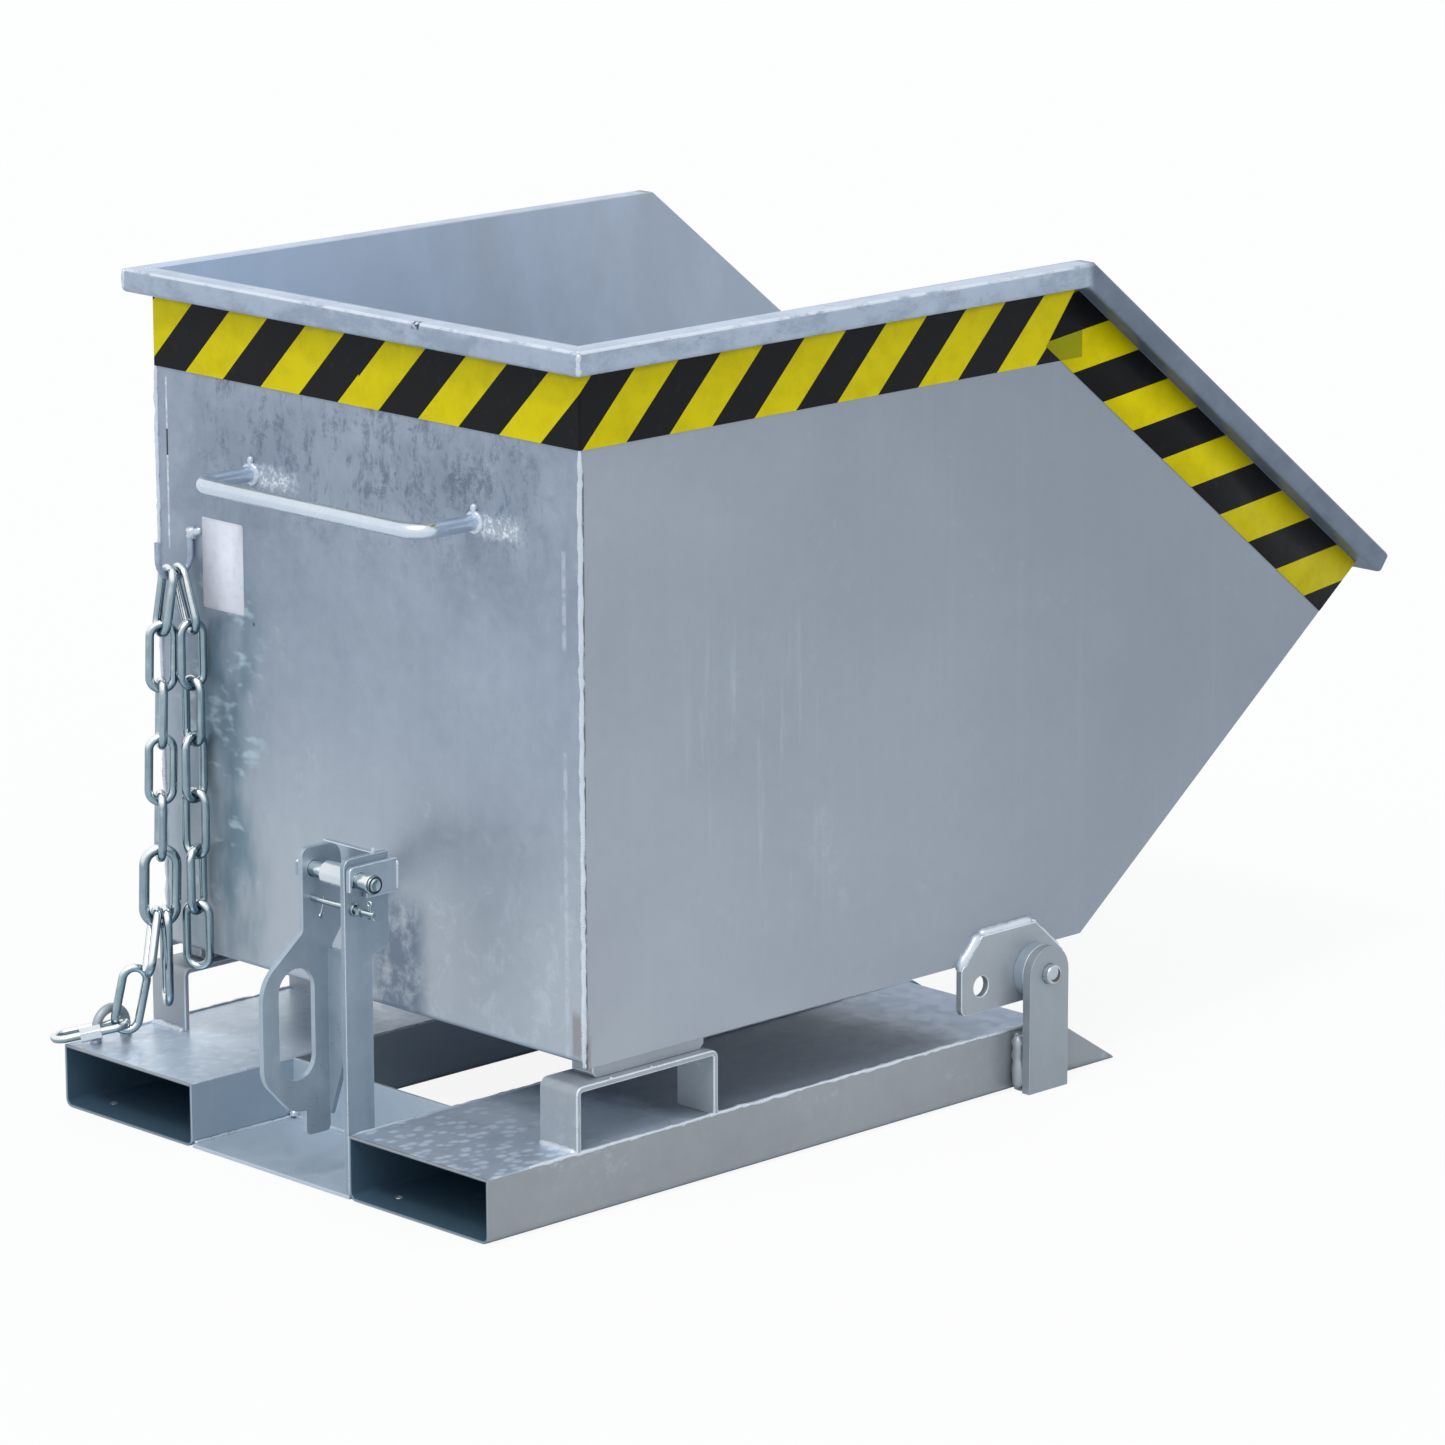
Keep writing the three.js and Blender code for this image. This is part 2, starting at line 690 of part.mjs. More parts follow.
// Catch bracket: near cheek hooked over the bolt, web across, far arm back to the rear wall.
// The horn behind the bolt flares, so that it clears the bolt as the bucket tips.
function catchBracket() {
  const webRear = leverHeadFront + catchWebGap;
  const webFront = webRear + latchPlate;
  const armNear = -catchFar - latchPlate;
  const saddle = boltRadius + runningGap;
  const catchRear = boltSetback - saddle - catchHorn;
  const hornTip = boltHeight - catchHornDrop;
  const cheek = sidePlate(rounded([
    [catchRear, hornTip], [boltSetback - saddle - catchHornFlare, hornTip],
    ...arc(new THREE.Vector3(boltSetback, boltHeight, 0), saddle, X, Y, 180, 0)
      .map((point) => [point.x, point.y]),
    [boltSetback + saddle, catchLow], [webFront, catchLow],
    [webFront, catchTop, catchCorner], [catchRear, catchTop, catchCorner],
  ]), catchNear, catchNear + latchPlate);
  const web = endPlate(rectangle(catchNear, catchLow, armNear + latchPlate, catchTop),
    webRear, webFront);
  const arm = sidePlate(rounded([
    [webRear, catchLow], [bucketRear - seamGap, catchArmLow],
    [bucketRear - seamGap, catchArmWallTop], [webFront, catchTop], [webRear, catchTop],
  ]), armNear, armNear + latchPlate);
  return joined(cheek, web, arm);
}

// Chain hook: a round bar folded to a U, its inner leg welded on the rear wall
const hookX = bucketRear - seamGap - hookRadius - hookBow;
function chainHook() {
  const place = (x, z) => new THREE.Vector3(x, hookY, z);
  return roundBar([
    place(hookX - hookBow, hookProngTop),
    ...arc(place(hookX, hookBowHeight), hookBow, X, Z, 180, 360, 2 * arcSteps),
    place(hookX + hookBow, hookLegTop),
  ], Y, hookRadius);
}

// Eye: a round bar folded to an upturned U and welded on the far pocket
const eyeY = outer - eyeEdgeInset;
function chainEye() {
  const place = (x, z) => new THREE.Vector3(x, eyeY, z);
  const bow = eyeSpan / 2;
  const bowHeight = pocketHeight + eyeHeight - eyeRadius - bow;
  return roundBar([
    place(eyeCentreX - bow, pocketHeight),
    ...arc(place(eyeCentreX, bowHeight), bow, X, Z, 180, 0, 2 * arcSteps),
    place(eyeCentreX + bow, pocketHeight),
  ], Y, eyeRadius);
}

// Quick link: round the near leg of the eye, with its nut on the near side
const quickAcross = level(quickYaw + 90);
const quickAlong = level(quickYaw).multiplyScalar(Math.cos(radians(quickPitch)))
  .addScaledVector(Z, Math.sin(radians(quickPitch)));
const quickCentre = new THREE.Vector3(eyeCentreX - eyeSpan / 2, eyeY, quickHeight)
  .addScaledVector(level(quickYaw), -quickLegOffset);
const quickLink = () =>
  link(quickCentre, quickAlong, quickAcross, quickLength, quickBow, quickWire);

function quickNut() {
  const up = quickAlong.clone().cross(quickAcross);
  const flats = circle(0, 0, quickNutFlats / Math.sqrt(3), 6)
    .map((point) => point.rotateAround(new THREE.Vector2(), Math.PI / 6));
  const nut = prism(flats, [circle(0, 0, quickWire + runningGap, 12)],
    -quickNutLength / 2, quickNutLength / 2, quickAcross, up, quickAlong);
  const place = quickCentre.clone().addScaledVector(quickAcross, -quickBow);
  return nut.translate(place.x, place.y, place.z);
}

// Chain: the end link stands in the quick link, and the rest hangs on the hook in two strands
const faceWay = level(chainFaceYaw);
const edgeWay = level(chainFaceYaw + 90);
const plainLink = (centre, along, across) =>
  link(centre, along, across, chainLength, chainBow, chainWire);
const endAlong = Z.clone().applyAxisAngle(edgeWay, radians(chainLean));
const endFoot = quickCentre.clone().addScaledVector(quickAlong, quickLength / 2)
  .addScaledVector(endAlong, -quickWire - chainWire - chainSlack);
const endTop = endFoot.clone().addScaledVector(endAlong, chainLength);
const endLink = () =>
  plainLink(endFoot.clone().addScaledVector(endAlong, chainLength / 2), endAlong, faceWay);

// How far above the lowest point of a bow a bar rests in it, at some distance from its middle
const bowSeat = (bow, clear, aside) => bow - Math.sqrt((bow - clear) ** 2 - aside ** 2);
const linkStep = bowSeat(chainBow, 2 * chainWire + chainSlack, 0);
const plainStep = chainLength - linkStep;

// Top of a link that hangs on the hook beside the middle of its bow, and leans down some way
function hookSeat(aside, down) {
  const rise = bowSeat(hookBow, 0, aside);
  const bar = new THREE.Vector3(hookX + aside, hookY, hookBowHeight - hookBow + rise);
  const clear = bowSeat(hookBow, hookRadius + chainWire + hookSlack, aside) - rise;
  return bar.addScaledVector(down, -clear);
}

// Strand one: five links, the joining link, and the lower link, which is open from the end link
// and hangs in front of its top. The first link is pulled further out of plumb than the others,
// and the joining link is as long as the lower link needs.
const sideStep = joiningBow - joiningWire - chainWire - runningGap;
const firstTop = hookSeat(-chainHookStep, Z.clone().negate());
const pullWay = endTop.clone().sub(firstTop).setZ(0).normalize();
const pulled = (degrees) => Z.clone().multiplyScalar(-Math.cos(radians(degrees)))
  .addScaledVector(pullWay, Math.sin(radians(degrees)));
const firstDown = pulled(firstPull);
const strandDown = pulled(strandPull);
const strandTop = firstTop.clone().addScaledVector(firstDown, plainStep - hookSlack);
const lowerFoot = endTop.clone().addScaledVector(edgeWay, -lowerAside)
  .addScaledVector(faceWay, lowerShift).addScaledVector(Z, -lowerDrop);
const joiningClear = joiningWire + chainWire + chainSlack;
const joiningRise = bowSeat(joiningBow, 0, sideStep);
const lowerClear = bowSeat(joiningBow, joiningWire + chainWire + seamGap, sideStep) - joiningRise;
const strandLinks = 4;
const joiningTop = (strandLinks - 1) * plainStep + chainLength - joiningClear;
const lowerHang = chainLength - lowerClear;
const lowerReach = lowerFoot.clone().addScaledVector(faceWay, sideStep).sub(strandTop);
const lowerDepth = lowerReach.dot(strandDown);
const joiningBar = lowerDepth - Math.sqrt(lowerDepth ** 2 - lowerReach.lengthSq() + lowerHang ** 2);
const joiningLength = joiningBar - joiningTop + joiningRise;
const downStrand = (distance) => strandTop.clone().addScaledVector(strandDown, distance);

function strandOne() {
  const first = plainLink(firstTop.clone().addScaledVector(firstDown, chainLength / 2), firstDown,
    level(chainHookYaw));
  const links = [first];
  for (let i = 0; i < strandLinks; i++) {
    const centre = downStrand(i * plainStep + chainLength / 2);
    links.push(plainLink(centre, strandDown, i % 2 ? edgeWay : faceWay));
  }
  return links;
}

const joiningLink = () => link(downStrand(joiningTop + joiningLength / 2), strandDown, faceWay,
  joiningLength, joiningBow, joiningWire);

function lowerLink() {
  const up = downStrand(joiningBar).addScaledVector(faceWay, -sideStep).sub(lowerFoot).normalize();
  return plainLink(lowerFoot.clone().addScaledVector(up, chainLength / 2), up, edgeWay);
}

// The loose link hangs plumb in the joining link's bow, beside the lower link.
function looseLink() {
  const top = downStrand(joiningBar).addScaledVector(faceWay, sideStep)
    .addScaledVector(Z, lowerClear);
  return link(top.addScaledVector(Z, -looseLength / 2), Z, edgeWay, looseLength, looseBow, looseWire);
}

// Strand two: its first link leans aside, and the rest hangs plumb with a slight twist
const hangingLinks = 6;
function strandTwo() {
  const lean = Z.clone().negate().applyAxisAngle(X, -radians(strandLean));
  const top = hookSeat(chainHookStep, lean);
  const first = plainLink(top.clone().addScaledVector(lean, chainLength / 2), lean,
    level(chainHookYaw));
  const links = [first];
  const start = top.clone().addScaledVector(lean, plainStep - hookSlack);
  for (let i = 0; i < hangingLinks; i++) {
    const centre = start.clone().addScaledVector(Z, -i * plainStep - chainLength / 2);
    links.push(plainLink(centre, Z, level(strandFaceYaw + i * strandTurn)));
  }
  return links;
}

// Assembly
const frame = new THREE.Group();
sides.forEach(([name, side]) => {
  frame.add(
    piece(`pocket_channel_${name}`, pocketChannel(side), zinc),
    piece(`pocket_top_${name}`, pocketTop(side), darkZinc),
    piece(`rest_bracket_${name}`, restBracket(side), zinc),
    piece(`post_${name}`, post(side), zinc),
    piece(`post_spacer_${name}`, spacer(side), zinc),
    piece(`pivot_collar_${name}`, collar(side), zinc),
    piece(`pivot_pin_${name}`, pivotPin(side), brightZinc),
  );
});
const crossPlate = (x) =>
  endPlate(rectangle(-inner, 0, inner, pocketHeight), x, x + crossPlateThickness);
frame.add(
  piece("ground_plate", flatPlate(rectangle(0, -inner, groundPlateLength, inner),
    0, groundPlateThickness), zinc),
  piece("cross_plate_rear", crossPlate(groundPlateLength), zinc),
  piece("cross_plate_front", crossPlate(pivotX - frontCrossInset), zinc),
  piece("latch_upright", latchUpright(), zinc),
  piece("latch_bolt", latchBolt(), brightZinc),
  piece("latch_sleeve", latchSleeve(), brightZinc),
  piece("lock_rod", lockRod(), brightZinc),
  piece("chain_eye", chainEye(), zinc),
);

const bucket = new THREE.Group();
bucket.add(piece("bucket_sheet", wrapSheet(), zinc));
sides.forEach(([name, side]) => {
  bucket.add(
    piece(`side_wall_${name}`, sideWall(side), zinc),
    piece(`pivot_ear_${name}`, ear(side), zinc),
    piece(`rest_shoe_${name}`, restShoe(side), zinc),
  );
});
rimBars().forEach(([name, bar]) => bucket.add(piece(name, bar, zinc)));
bucket.add(
  piece("push_handle", pushHandle(), zinc),
  piece("catch_bracket", catchBracket(), zinc),
  piece("chain_hook", chainHook(), zinc),
);

const chain = new THREE.Group();
chain.add(
  piece("quick_link", quickLink(), brightZinc),
  piece("quick_link_nut", quickNut(), brightZinc),
  piece("chain_end_link", endLink(), brightZinc),
  piece("chain_joining_link", joiningLink(), brightZinc),
  piece("chain_lower_link", lowerLink(), brightZinc),
  piece("chain_loose_link", looseLink(), brightZinc),
  ...strandOne().map((one, i) => piece(`chain_one_${i + 1}`, one, brightZinc)),
  ...strandTwo().map((one, i) => piece(`chain_two_${i + 1}`, one, brightZinc)),
);

// The origin is in the middle of the ground plate's underside.
const skip = new THREE.Group();
skip.add(frame, bucket, piece("latch_lever", latchLever(), zinc), chain);
skip.position.x = -groundPlateLength / 2;
const part = new THREE.Group();
part.name = "tipping_skip";
part.add(skip);

export default part;
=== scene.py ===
import json
import math

import bmesh
import bpy
from mathutils import Matrix, Vector

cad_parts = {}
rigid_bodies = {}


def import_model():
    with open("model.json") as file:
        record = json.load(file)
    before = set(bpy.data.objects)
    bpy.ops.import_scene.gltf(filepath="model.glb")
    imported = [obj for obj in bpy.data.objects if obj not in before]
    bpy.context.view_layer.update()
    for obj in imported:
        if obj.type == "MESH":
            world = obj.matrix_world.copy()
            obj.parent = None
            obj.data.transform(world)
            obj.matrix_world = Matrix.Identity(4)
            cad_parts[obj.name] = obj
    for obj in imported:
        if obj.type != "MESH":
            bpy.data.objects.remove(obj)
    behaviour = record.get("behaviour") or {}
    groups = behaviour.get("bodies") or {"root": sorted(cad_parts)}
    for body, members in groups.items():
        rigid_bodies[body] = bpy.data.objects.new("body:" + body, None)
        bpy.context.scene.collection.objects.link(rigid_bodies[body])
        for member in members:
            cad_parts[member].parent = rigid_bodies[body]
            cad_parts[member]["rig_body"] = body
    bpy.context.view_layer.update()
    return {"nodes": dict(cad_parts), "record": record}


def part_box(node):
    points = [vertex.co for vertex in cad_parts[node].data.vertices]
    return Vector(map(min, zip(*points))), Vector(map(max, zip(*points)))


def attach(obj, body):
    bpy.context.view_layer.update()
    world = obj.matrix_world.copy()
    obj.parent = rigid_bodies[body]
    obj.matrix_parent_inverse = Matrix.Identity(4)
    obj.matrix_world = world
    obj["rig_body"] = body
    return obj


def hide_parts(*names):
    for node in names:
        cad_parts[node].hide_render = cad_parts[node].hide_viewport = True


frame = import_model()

scene = bpy.context.scene
scene.view_settings.view_transform = "Standard"
print("skip loaded:", len(frame["nodes"]), "parts")

# Metres, with the fork entry at low x, the chain on the +y side and the floor at z 0.
cameraView = {
    "place": (-3.9966, -4.6848, 1.9383),
    "azimuth": -44.0819, "elevation": 13.6124, "roll": -0.158,
    "lens": 160.05, "shift": (0.01021, -0.00103),
}


def setCamera(view):
    turn, lift, roll = (math.radians(view[k]) for k in ("azimuth", "elevation", "roll"))
    back = Vector((math.sin(turn) * math.cos(lift), -math.cos(turn) * math.cos(lift), math.sin(lift)))
    level = Vector((math.cos(turn), math.sin(turn), 0))
    up = back.cross(level)
    right = level * math.cos(roll) + up * math.sin(roll)
    data = bpy.data.cameras.new("camera")
    data.lens = view["lens"]
    data.shift_x, data.shift_y = view["shift"]
    data.clip_start, data.clip_end = 0.1, 200
    camera = bpy.data.objects.new("camera", data)
    scene.collection.objects.link(camera)
    turned = Matrix((right, back.cross(right), back)).transposed()
    camera.matrix_world = Matrix.Translation(view["place"]) @ turned.to_4x4()
    scene.camera = camera


setCamera(cameraView)


def linear(red, green, blue):  # a colour as read off a screen, 0 to 255, as the shader wants it
    part = [c / 255 for c in (red, green, blue)]
    return [c / 12.92 if c <= 0.04045 else ((c + 0.055) / 1.055) ** 2.4 for c in part] + [1.0]


class Value:  # a number or colour that varies over a surface
    def __init__(self, finish, socket):
        self.finish, self.socket = finish, socket

    def maths(self, operation, first, second=0.0):
        return self.finish.node("Math", {"operation": operation}, {0: first, 1: second})

    def __add__(self, other):
        return self.maths("ADD", self, other)

    __radd__ = __add__

    def __sub__(self, other):
        return self.maths("SUBTRACT", self, other)

    def __rsub__(self, other):
        return self.maths("SUBTRACT", other, self)

    def __mul__(self, other):
        return self.maths("MULTIPLY", self, other)

    def __truediv__(self, other):
        return self.maths("DIVIDE", self, other)

    def __gt__(self, other):
        return self.maths("GREATER_THAN", self, other)

    def __lt__(self, other):
        return self.maths("LESS_THAN", self, other)

    def __abs__(self):
        return self.maths("ABSOLUTE", self)

    def part(self):
        return self.maths("FRACT", self)

    def sign(self):
        return self.maths("SIGN", self)

    def power(self, other):
        return self.maths("POWER", self, other)

    def larger(self, other):
        return self.maths("MAXIMUM", self, other)

    def rise(self, low, high):  # 0 below low, 1 above high, smooth between
        return self.finish.node("MapRange", {"interpolation_type": "SMOOTHSTEP"},
                                {0: self, 1: low, 2: high, 3: 0.0, 4: 1.0})

    def near(self, place, reach, fade):  # 1 within reach of a place, fading out
        return 1 - abs(self - place).rise(reach, reach + fade)


class Finish:  # one material, with its nodes
    def __init__(self, name, **constants):
        self.material = bpy.data.materials.new(name)
        self.material.use_nodes = True
        self.tree = self.material.node_tree
        self.shader = next(n for n in self.tree.nodes if n.type == "BSDF_PRINCIPLED")
        for socket, value in constants.items():
            self.shader.inputs[socket.replace("_", " ")].default_value = value
        self.place = self.node("TexCoord", out="Object")

    def node(self, kind, settings=(), sockets=(), out=0):
        made = self.tree.nodes.new("ShaderNode" + kind)
        for key, value in dict(settings).items():
            setattr(made, key, value)
        for key, value in dict(sockets).items():
            if isinstance(value, Value):
                self.tree.links.new(value.socket, made.inputs[key])
            else:
                made.inputs[key].default_value = value
        return Value(self, made.outputs[out])

    def feed(self, socket, value):
        self.tree.links.new(value.socket, self.shader.inputs[socket])

    def axes(self):
        split = self.node("SeparateXYZ", {}, {0: self.place}).socket.node
        return [Value(self, out) for out in split.outputs]

    def stretched(self, stretch):
        if not stretch:
            return self.place
        return self.node("Mapping", {}, {"Vector": self.place, "Scale": stretch})

    def noise(self, scale, detail=3.0, rough=0.55, stretch=None, warp=0.0):
        return self.node("TexNoise", {}, {"Vector": self.stretched(stretch), "Scale": scale,
                                          "Detail": detail, "Roughness": rough, "Distortion": warp})

    def cells(self, scale, out="Distance", stretch=None):
        return self.node("TexVoronoi", {"feature": "F1"},
                         {"Vector": self.stretched(stretch), "Scale": scale}, out)

    def facing(self, way):  # 1 where the surface looks that way, -1 where it looks away
        normal = self.node("TexCoord", out="Normal")
        return self.node("VectorMath", {"operation": "DOT_PRODUCT"},
                         {0: normal, 1: Vector(way).normalized()}, "Value")

    def mix(self, share, first, second):
        return self.node("Mix", {"data_type": "RGBA"}, {0: share, 6: first, 7: second}, 2)

    def tint(self, colour, share, shade):  # the colour, with its share of a shade laid over it
        return self.mix(share, colour, linear(*shade))

    def bump(self, height, strength, distance=0.001):
        self.feed("Normal", self.node("Bump", {}, {"Height": height, "Strength": strength,
                                                   "Distance": distance}))


# Zinc: a cloudy grey with spangle, fine grain, runs down the sheets and frosty patches
zincLook = {
    "frost": (214, 222, 232), "cloud": 3.2, "spangle": 90, "grain": 900, "streak": (42, 42, 1.6),
    "metallic": 0.45, "roughness": 0.44, "middle": 0.55,
    "tone": {"cloud": 0.9, "spangle": 0.08, "fine": 0.28, "grain": 0.16},
    "gloss": {"cloud": 0.18, "spangle": 0.08, "grain": 0.1},
    "bump": (0.12, 0.0006),
}


def galvanised(name, dark, pale, streaks=0.5, frosting=0.35, extra=None, **changes):
    look = {**zincLook, **changes}
    share, gloss = look["tone"], look["gloss"]
    finish = Finish(name, Metallic=look["metallic"])
    x, y, z = finish.axes()
    cloud = finish.noise(look["cloud"], 4, 0.6)
    spangle = finish.node("SeparateColor", {}, {0: finish.cells(look["spangle"], "Color")})
    grain = finish.noise(look["grain"], 2)
    streak = finish.noise(1.0, 4, 0.6, stretch=look["streak"])
    fine = finish.noise(60, 4, 0.7)
    tone = (cloud - 0.5) * share["cloud"] + (streak - 0.5) * streaks \
        + (spangle - 0.5) * share["spangle"] + (fine - 0.5) * share["fine"] \
        + (grain - 0.5) * share["grain"] + look["middle"]
    colour = finish.mix(tone, linear(*dark), linear(*pale))
    frost = finish.noise(9, 6, 0.75).rise(0.56, 0.72) * fine.rise(0.45, 0.6) * frosting
    colour = finish.tint(colour, frost, look["frost"])
    height = fine * 0.5 + streak * 0.5 + grain * 0.25
    if extra:
        colour, height = extra(finish, colour, height, x, y, z)
    finish.feed("Base Color", colour)
    finish.feed("Roughness", look["roughness"] + (cloud - 0.5) * gloss["cloud"]
                + (spangle - 0.5) * gloss["spangle"] + (grain - 0.5) * gloss["grain"])
    finish.bump(height, *look["bump"])
    return finish.material


# What marks the finishes: their colours here, and where each mark lies in its function
rearMarks = {
    "dark": (78, 94, 116), "haze": (108, 124, 146), "pale": (214, 222, 232), "teal": (78, 118, 136),
    "rust": (118, 98, 80), "low": (206, 212, 216), "glint": (206, 230, 238), "shade": (84, 106, 130),
    "trail": (230, 238, 246), "seamWeld": (222, 230, 238), "slit": (44, 50, 62),
    "inner": (214, 230, 248), "dot": (70, 74, 84),
    "handleFeet": (-0.1665, 0.1665), "handleHeight": 0.666, "seam": 0.299, "ridge": -0.292,
}
sideMarks = {
    "shade": (118, 128, 142), "low": (184, 191, 198), "drawn": (194, 204, 216), "runs": (196, 212, 230),
    "patch": (136, 140, 152), "scuff": (196, 206, 218), "gap": (84, 88, 96), "rust": (122, 98, 78),
    "inside": (206, 224, 246),
}
pocketLook = {
    "sky": (228, 242, 255), "between": (104, 122, 146), "bar": (232, 240, 248), "wear": (132, 150, 172),
    "damp": (44, 66, 92), "farEnd": (110, 150, 200), "facingIn": (184, 204, 220),
    "lip": (128, 112, 98), "inside": (92, 132, 158),
}
# Bright zinc: the way its painted highlights face, and the colours of its painted shade and painted
# highlight
brightLook = {"lit": (-0.55, -0.25, 0.95), "under": (62, 92, 108), "glint": (246, 250, 250)}
pinEnd = {"middle": (0.6938, 0.1246), "clean": (0.6905, 0.1278), "rust": (84, 66, 56)}
rimLook = {
    "sky": (206, 222, 242), "mottle": (112, 126, 146), "edge": (236, 243, 251),
    "scuff": (104, 118, 138), "scratch": (62, 68, 80), "slope": (78, 90, 108),
}


def rearWallMarks(finish, colour, height, x, y, z):
    m = rearMarks
    onRear = 1 - x.rise(0.0672, 0.0685)
    ragged = finish.noise(24, 9, 0.8, warp=0.7)
    flecks = finish.noise(95, 5, 0.72, warp=0.5)
    drips = finish.noise(1.0, 7, 0.78, stretch=(60, 70, 22))
    band = z.rise(0.575, 0.69) * y.near(0.0, 0.20, 0.10)
    haze = finish.noise(7, 5, 0.7).rise(0.36, 0.62) * z.near(0.68, 0.06, 0.12) * onRear
    colour = finish.tint(colour, haze * 0.42, m["haze"])
    dark = (ragged * 0.55 + drips * 0.45).rise(0.475, 0.57) * flecks.rise(0.36, 0.56) * band * onRear
    colour = finish.tint(colour, dark * 0.60, m["dark"])
    # painted light: the rear wall is made paler towards the bottom
    paintedLightLowDown = (1 - z.rise(0.14, 0.52)) * onRear
    colour = finish.tint(colour, paintedLightLowDown * 0.55, m["low"])
    patches = ragged.rise(0.50, 0.64) * (1 - z.rise(0.20, 0.42)) * (1 - y.rise(-0.12, 0.02)) * onRear
    colour = finish.tint(colour, patches * 0.45, m["pale"])
    # painted reflections of the chain in the zinc, with painted glints among them
    besideChain = y.near(0.225, 0.032, 0.06) * z.near(0.35, 0.15, 0.09) * onRear  # its reflections
    reflectionBlotch = finish.noise(14, 3, 0.55, stretch=(1, 1.5, 0.6))
    colour = finish.tint(colour, besideChain * (reflectionBlotch.rise(0.34, 0.66) * 0.60 + 0.08), m["teal"])
    glint = finish.noise(38, 2, 0.5, stretch=(1, 0.8, 1.5)).rise(0.56, 0.72) * besideChain
    colour = finish.tint(colour, glint * 0.55, m["glint"])
    # painted shade on the rear wall behind the latch
    paintedShadeBehindLatch = y.near(-0.045, 0.022, 0.03) * z.near(0.195, 0.05, 0.04) * onRear
    colour = finish.tint(colour, paintedShadeBehindLatch * finish.noise(30, 5, 0.7).rise(0.30, 0.58) * 0.75,
                         m["shade"])
    for foot in m["handleFeet"]:  # frost trails out of the welds
        trail = z.near(m["handleHeight"] - 0.001, 0.004, 0.014) * (y - foot).near(-0.032, 0.018, 0.03)
        spots = finish.noise(170, 4, 0.7).rise(0.46, 0.62) * 0.7 + trail * 0.3
        colour = finish.tint(colour, trail * spots * onRear, m["trail"])
    broken = finish.noise(55, 4, 0.7).rise(0.40, 0.56) * 0.8 + 0.2
    ridge = z.near(0.607, 0.047, 0.004).larger(z.near(0.298, 0.158, 0.004)) \
        * y.near(m["ridge"], 0.0014, 0.0026) * broken * onRear
    colour = finish.tint(colour, ridge * 0.42, m["pale"])
    seam = y.near(m["seam"], 0.0009, 0.0008) * z.near(0.6585, 0.0865, 0.004) * onRear
    slit = seam * z.near(0.68, 0.013, 0.001)
    spots = finish.noise(140, 2).rise(0.52, 0.58) * seam
    colour = finish.tint(colour, seam * 0.45 + spots * 0.4, m["seamWeld"])
    colour = finish.tint(colour, slit, m["slit"])
    rust = y.near(-0.3055, 0.004, 0.004) * z.near(0.178, 0.016, 0.012) * onRear
    colour = finish.tint(colour, rust * 0.45, m["rust"])
    # painted light: the inside face of the rear sheet is made paler and bluer
    inner = x.rise(0.0695, 0.0700) * z.rise(0.152, 0.1525)
    colour = finish.tint(colour, inner * 0.60, m["inner"])
    dots = (y.near(0.168, 0.0012, 0.001) * z.near(0.511, 0.0012, 0.001)).larger(
        y.near(0.315, 0.0008, 0.001) * z.near(0.4575, 0.0055, 0.001)) * onRear
    colour = finish.tint(colour, dots * 0.8, m["dot"])
    return colour, height + ridge * 1.2 + seam * 1.0 - slit * 3 + dark * 0.2


def sideWallMarks(finish, colour, height, x, y, z):
    m = sideMarks
    outside = abs(y).rise(0.3155, 0.3158)
    # painted shade, darker upwards and towards the front, and painted light, paler low down towards the
    # rear
    shade = (x * 0.62 + z * 0.55).rise(0.26, 0.92) * outside
    colour = finish.tint(colour, shade * 0.48, m["shade"])
    low = (1 - z.rise(0.16, 0.40)) * (1 - x.rise(0.10, 0.45)) * outside
    colour = finish.tint(colour, low * 0.35, m["low"])
    drawn = finish.noise(1.0, 4, 0.65, stretch=(90, 90, 1.6))
    colour = finish.tint(colour, drawn.rise(0.54, 0.72) * outside * 0.04, m["drawn"])
    runs = finish.noise(1.0, 4, 0.65, stretch=(70, 70, 5)).rise(0.54, 0.68) * x.near(0.30, 0.06, 0.06)
    colour = finish.tint(colour, runs * z.near(0.38, 0.10, 0.12) * outside * 0.22, m["runs"])
    patchy = finish.noise(2.2, 3, 0.5, stretch=(1.0, 1.0, 1.7), warp=0.8)
    colour = finish.tint(colour, patchy.rise(0.42, 0.62) * outside * 0.16, m["patch"])
    scuffs = finish.noise(48, 7, 0.8, warp=0.4).rise(0.60, 0.72) * finish.noise(6, 2).rise(0.50, 0.66)
    colour = finish.tint(colour, scuffs * outside * 0.30, m["scuff"])
    below = (1 - z.rise(0.755, 0.757)) * outside
    gap = x.near(0.0706, 0.0006, 0.0008) * finish.noise(36, 4, 0.7).rise(0.40, 0.52) * below
    colour = finish.tint(colour, gap * 0.8, m["gap"])
    rust = (1 - x.rise(0.0715, 0.0780)) * (1 - z.rise(0.170, 0.215)) \
        * finish.noise(70, 4, 0.7).rise(0.35, 0.6)
    colour = finish.tint(colour, rust * below * 0.55, m["rust"])
    # painted light: the inside faces are made paler and bluer, more so towards the rear
    cloudy = finish.noise(5, 5, 0.65, stretch=(1.0, 1.0, 0.5))
    paintedInsideLightShare = cloudy.rise(0.35, 0.65) * 0.25 + (1 - x.rise(0.15, 0.60)) * 0.60 + 0.20
    colour = finish.tint(colour, (1 - outside) * paintedInsideLightShare, m["inside"])
    return colour, height - gap * 2


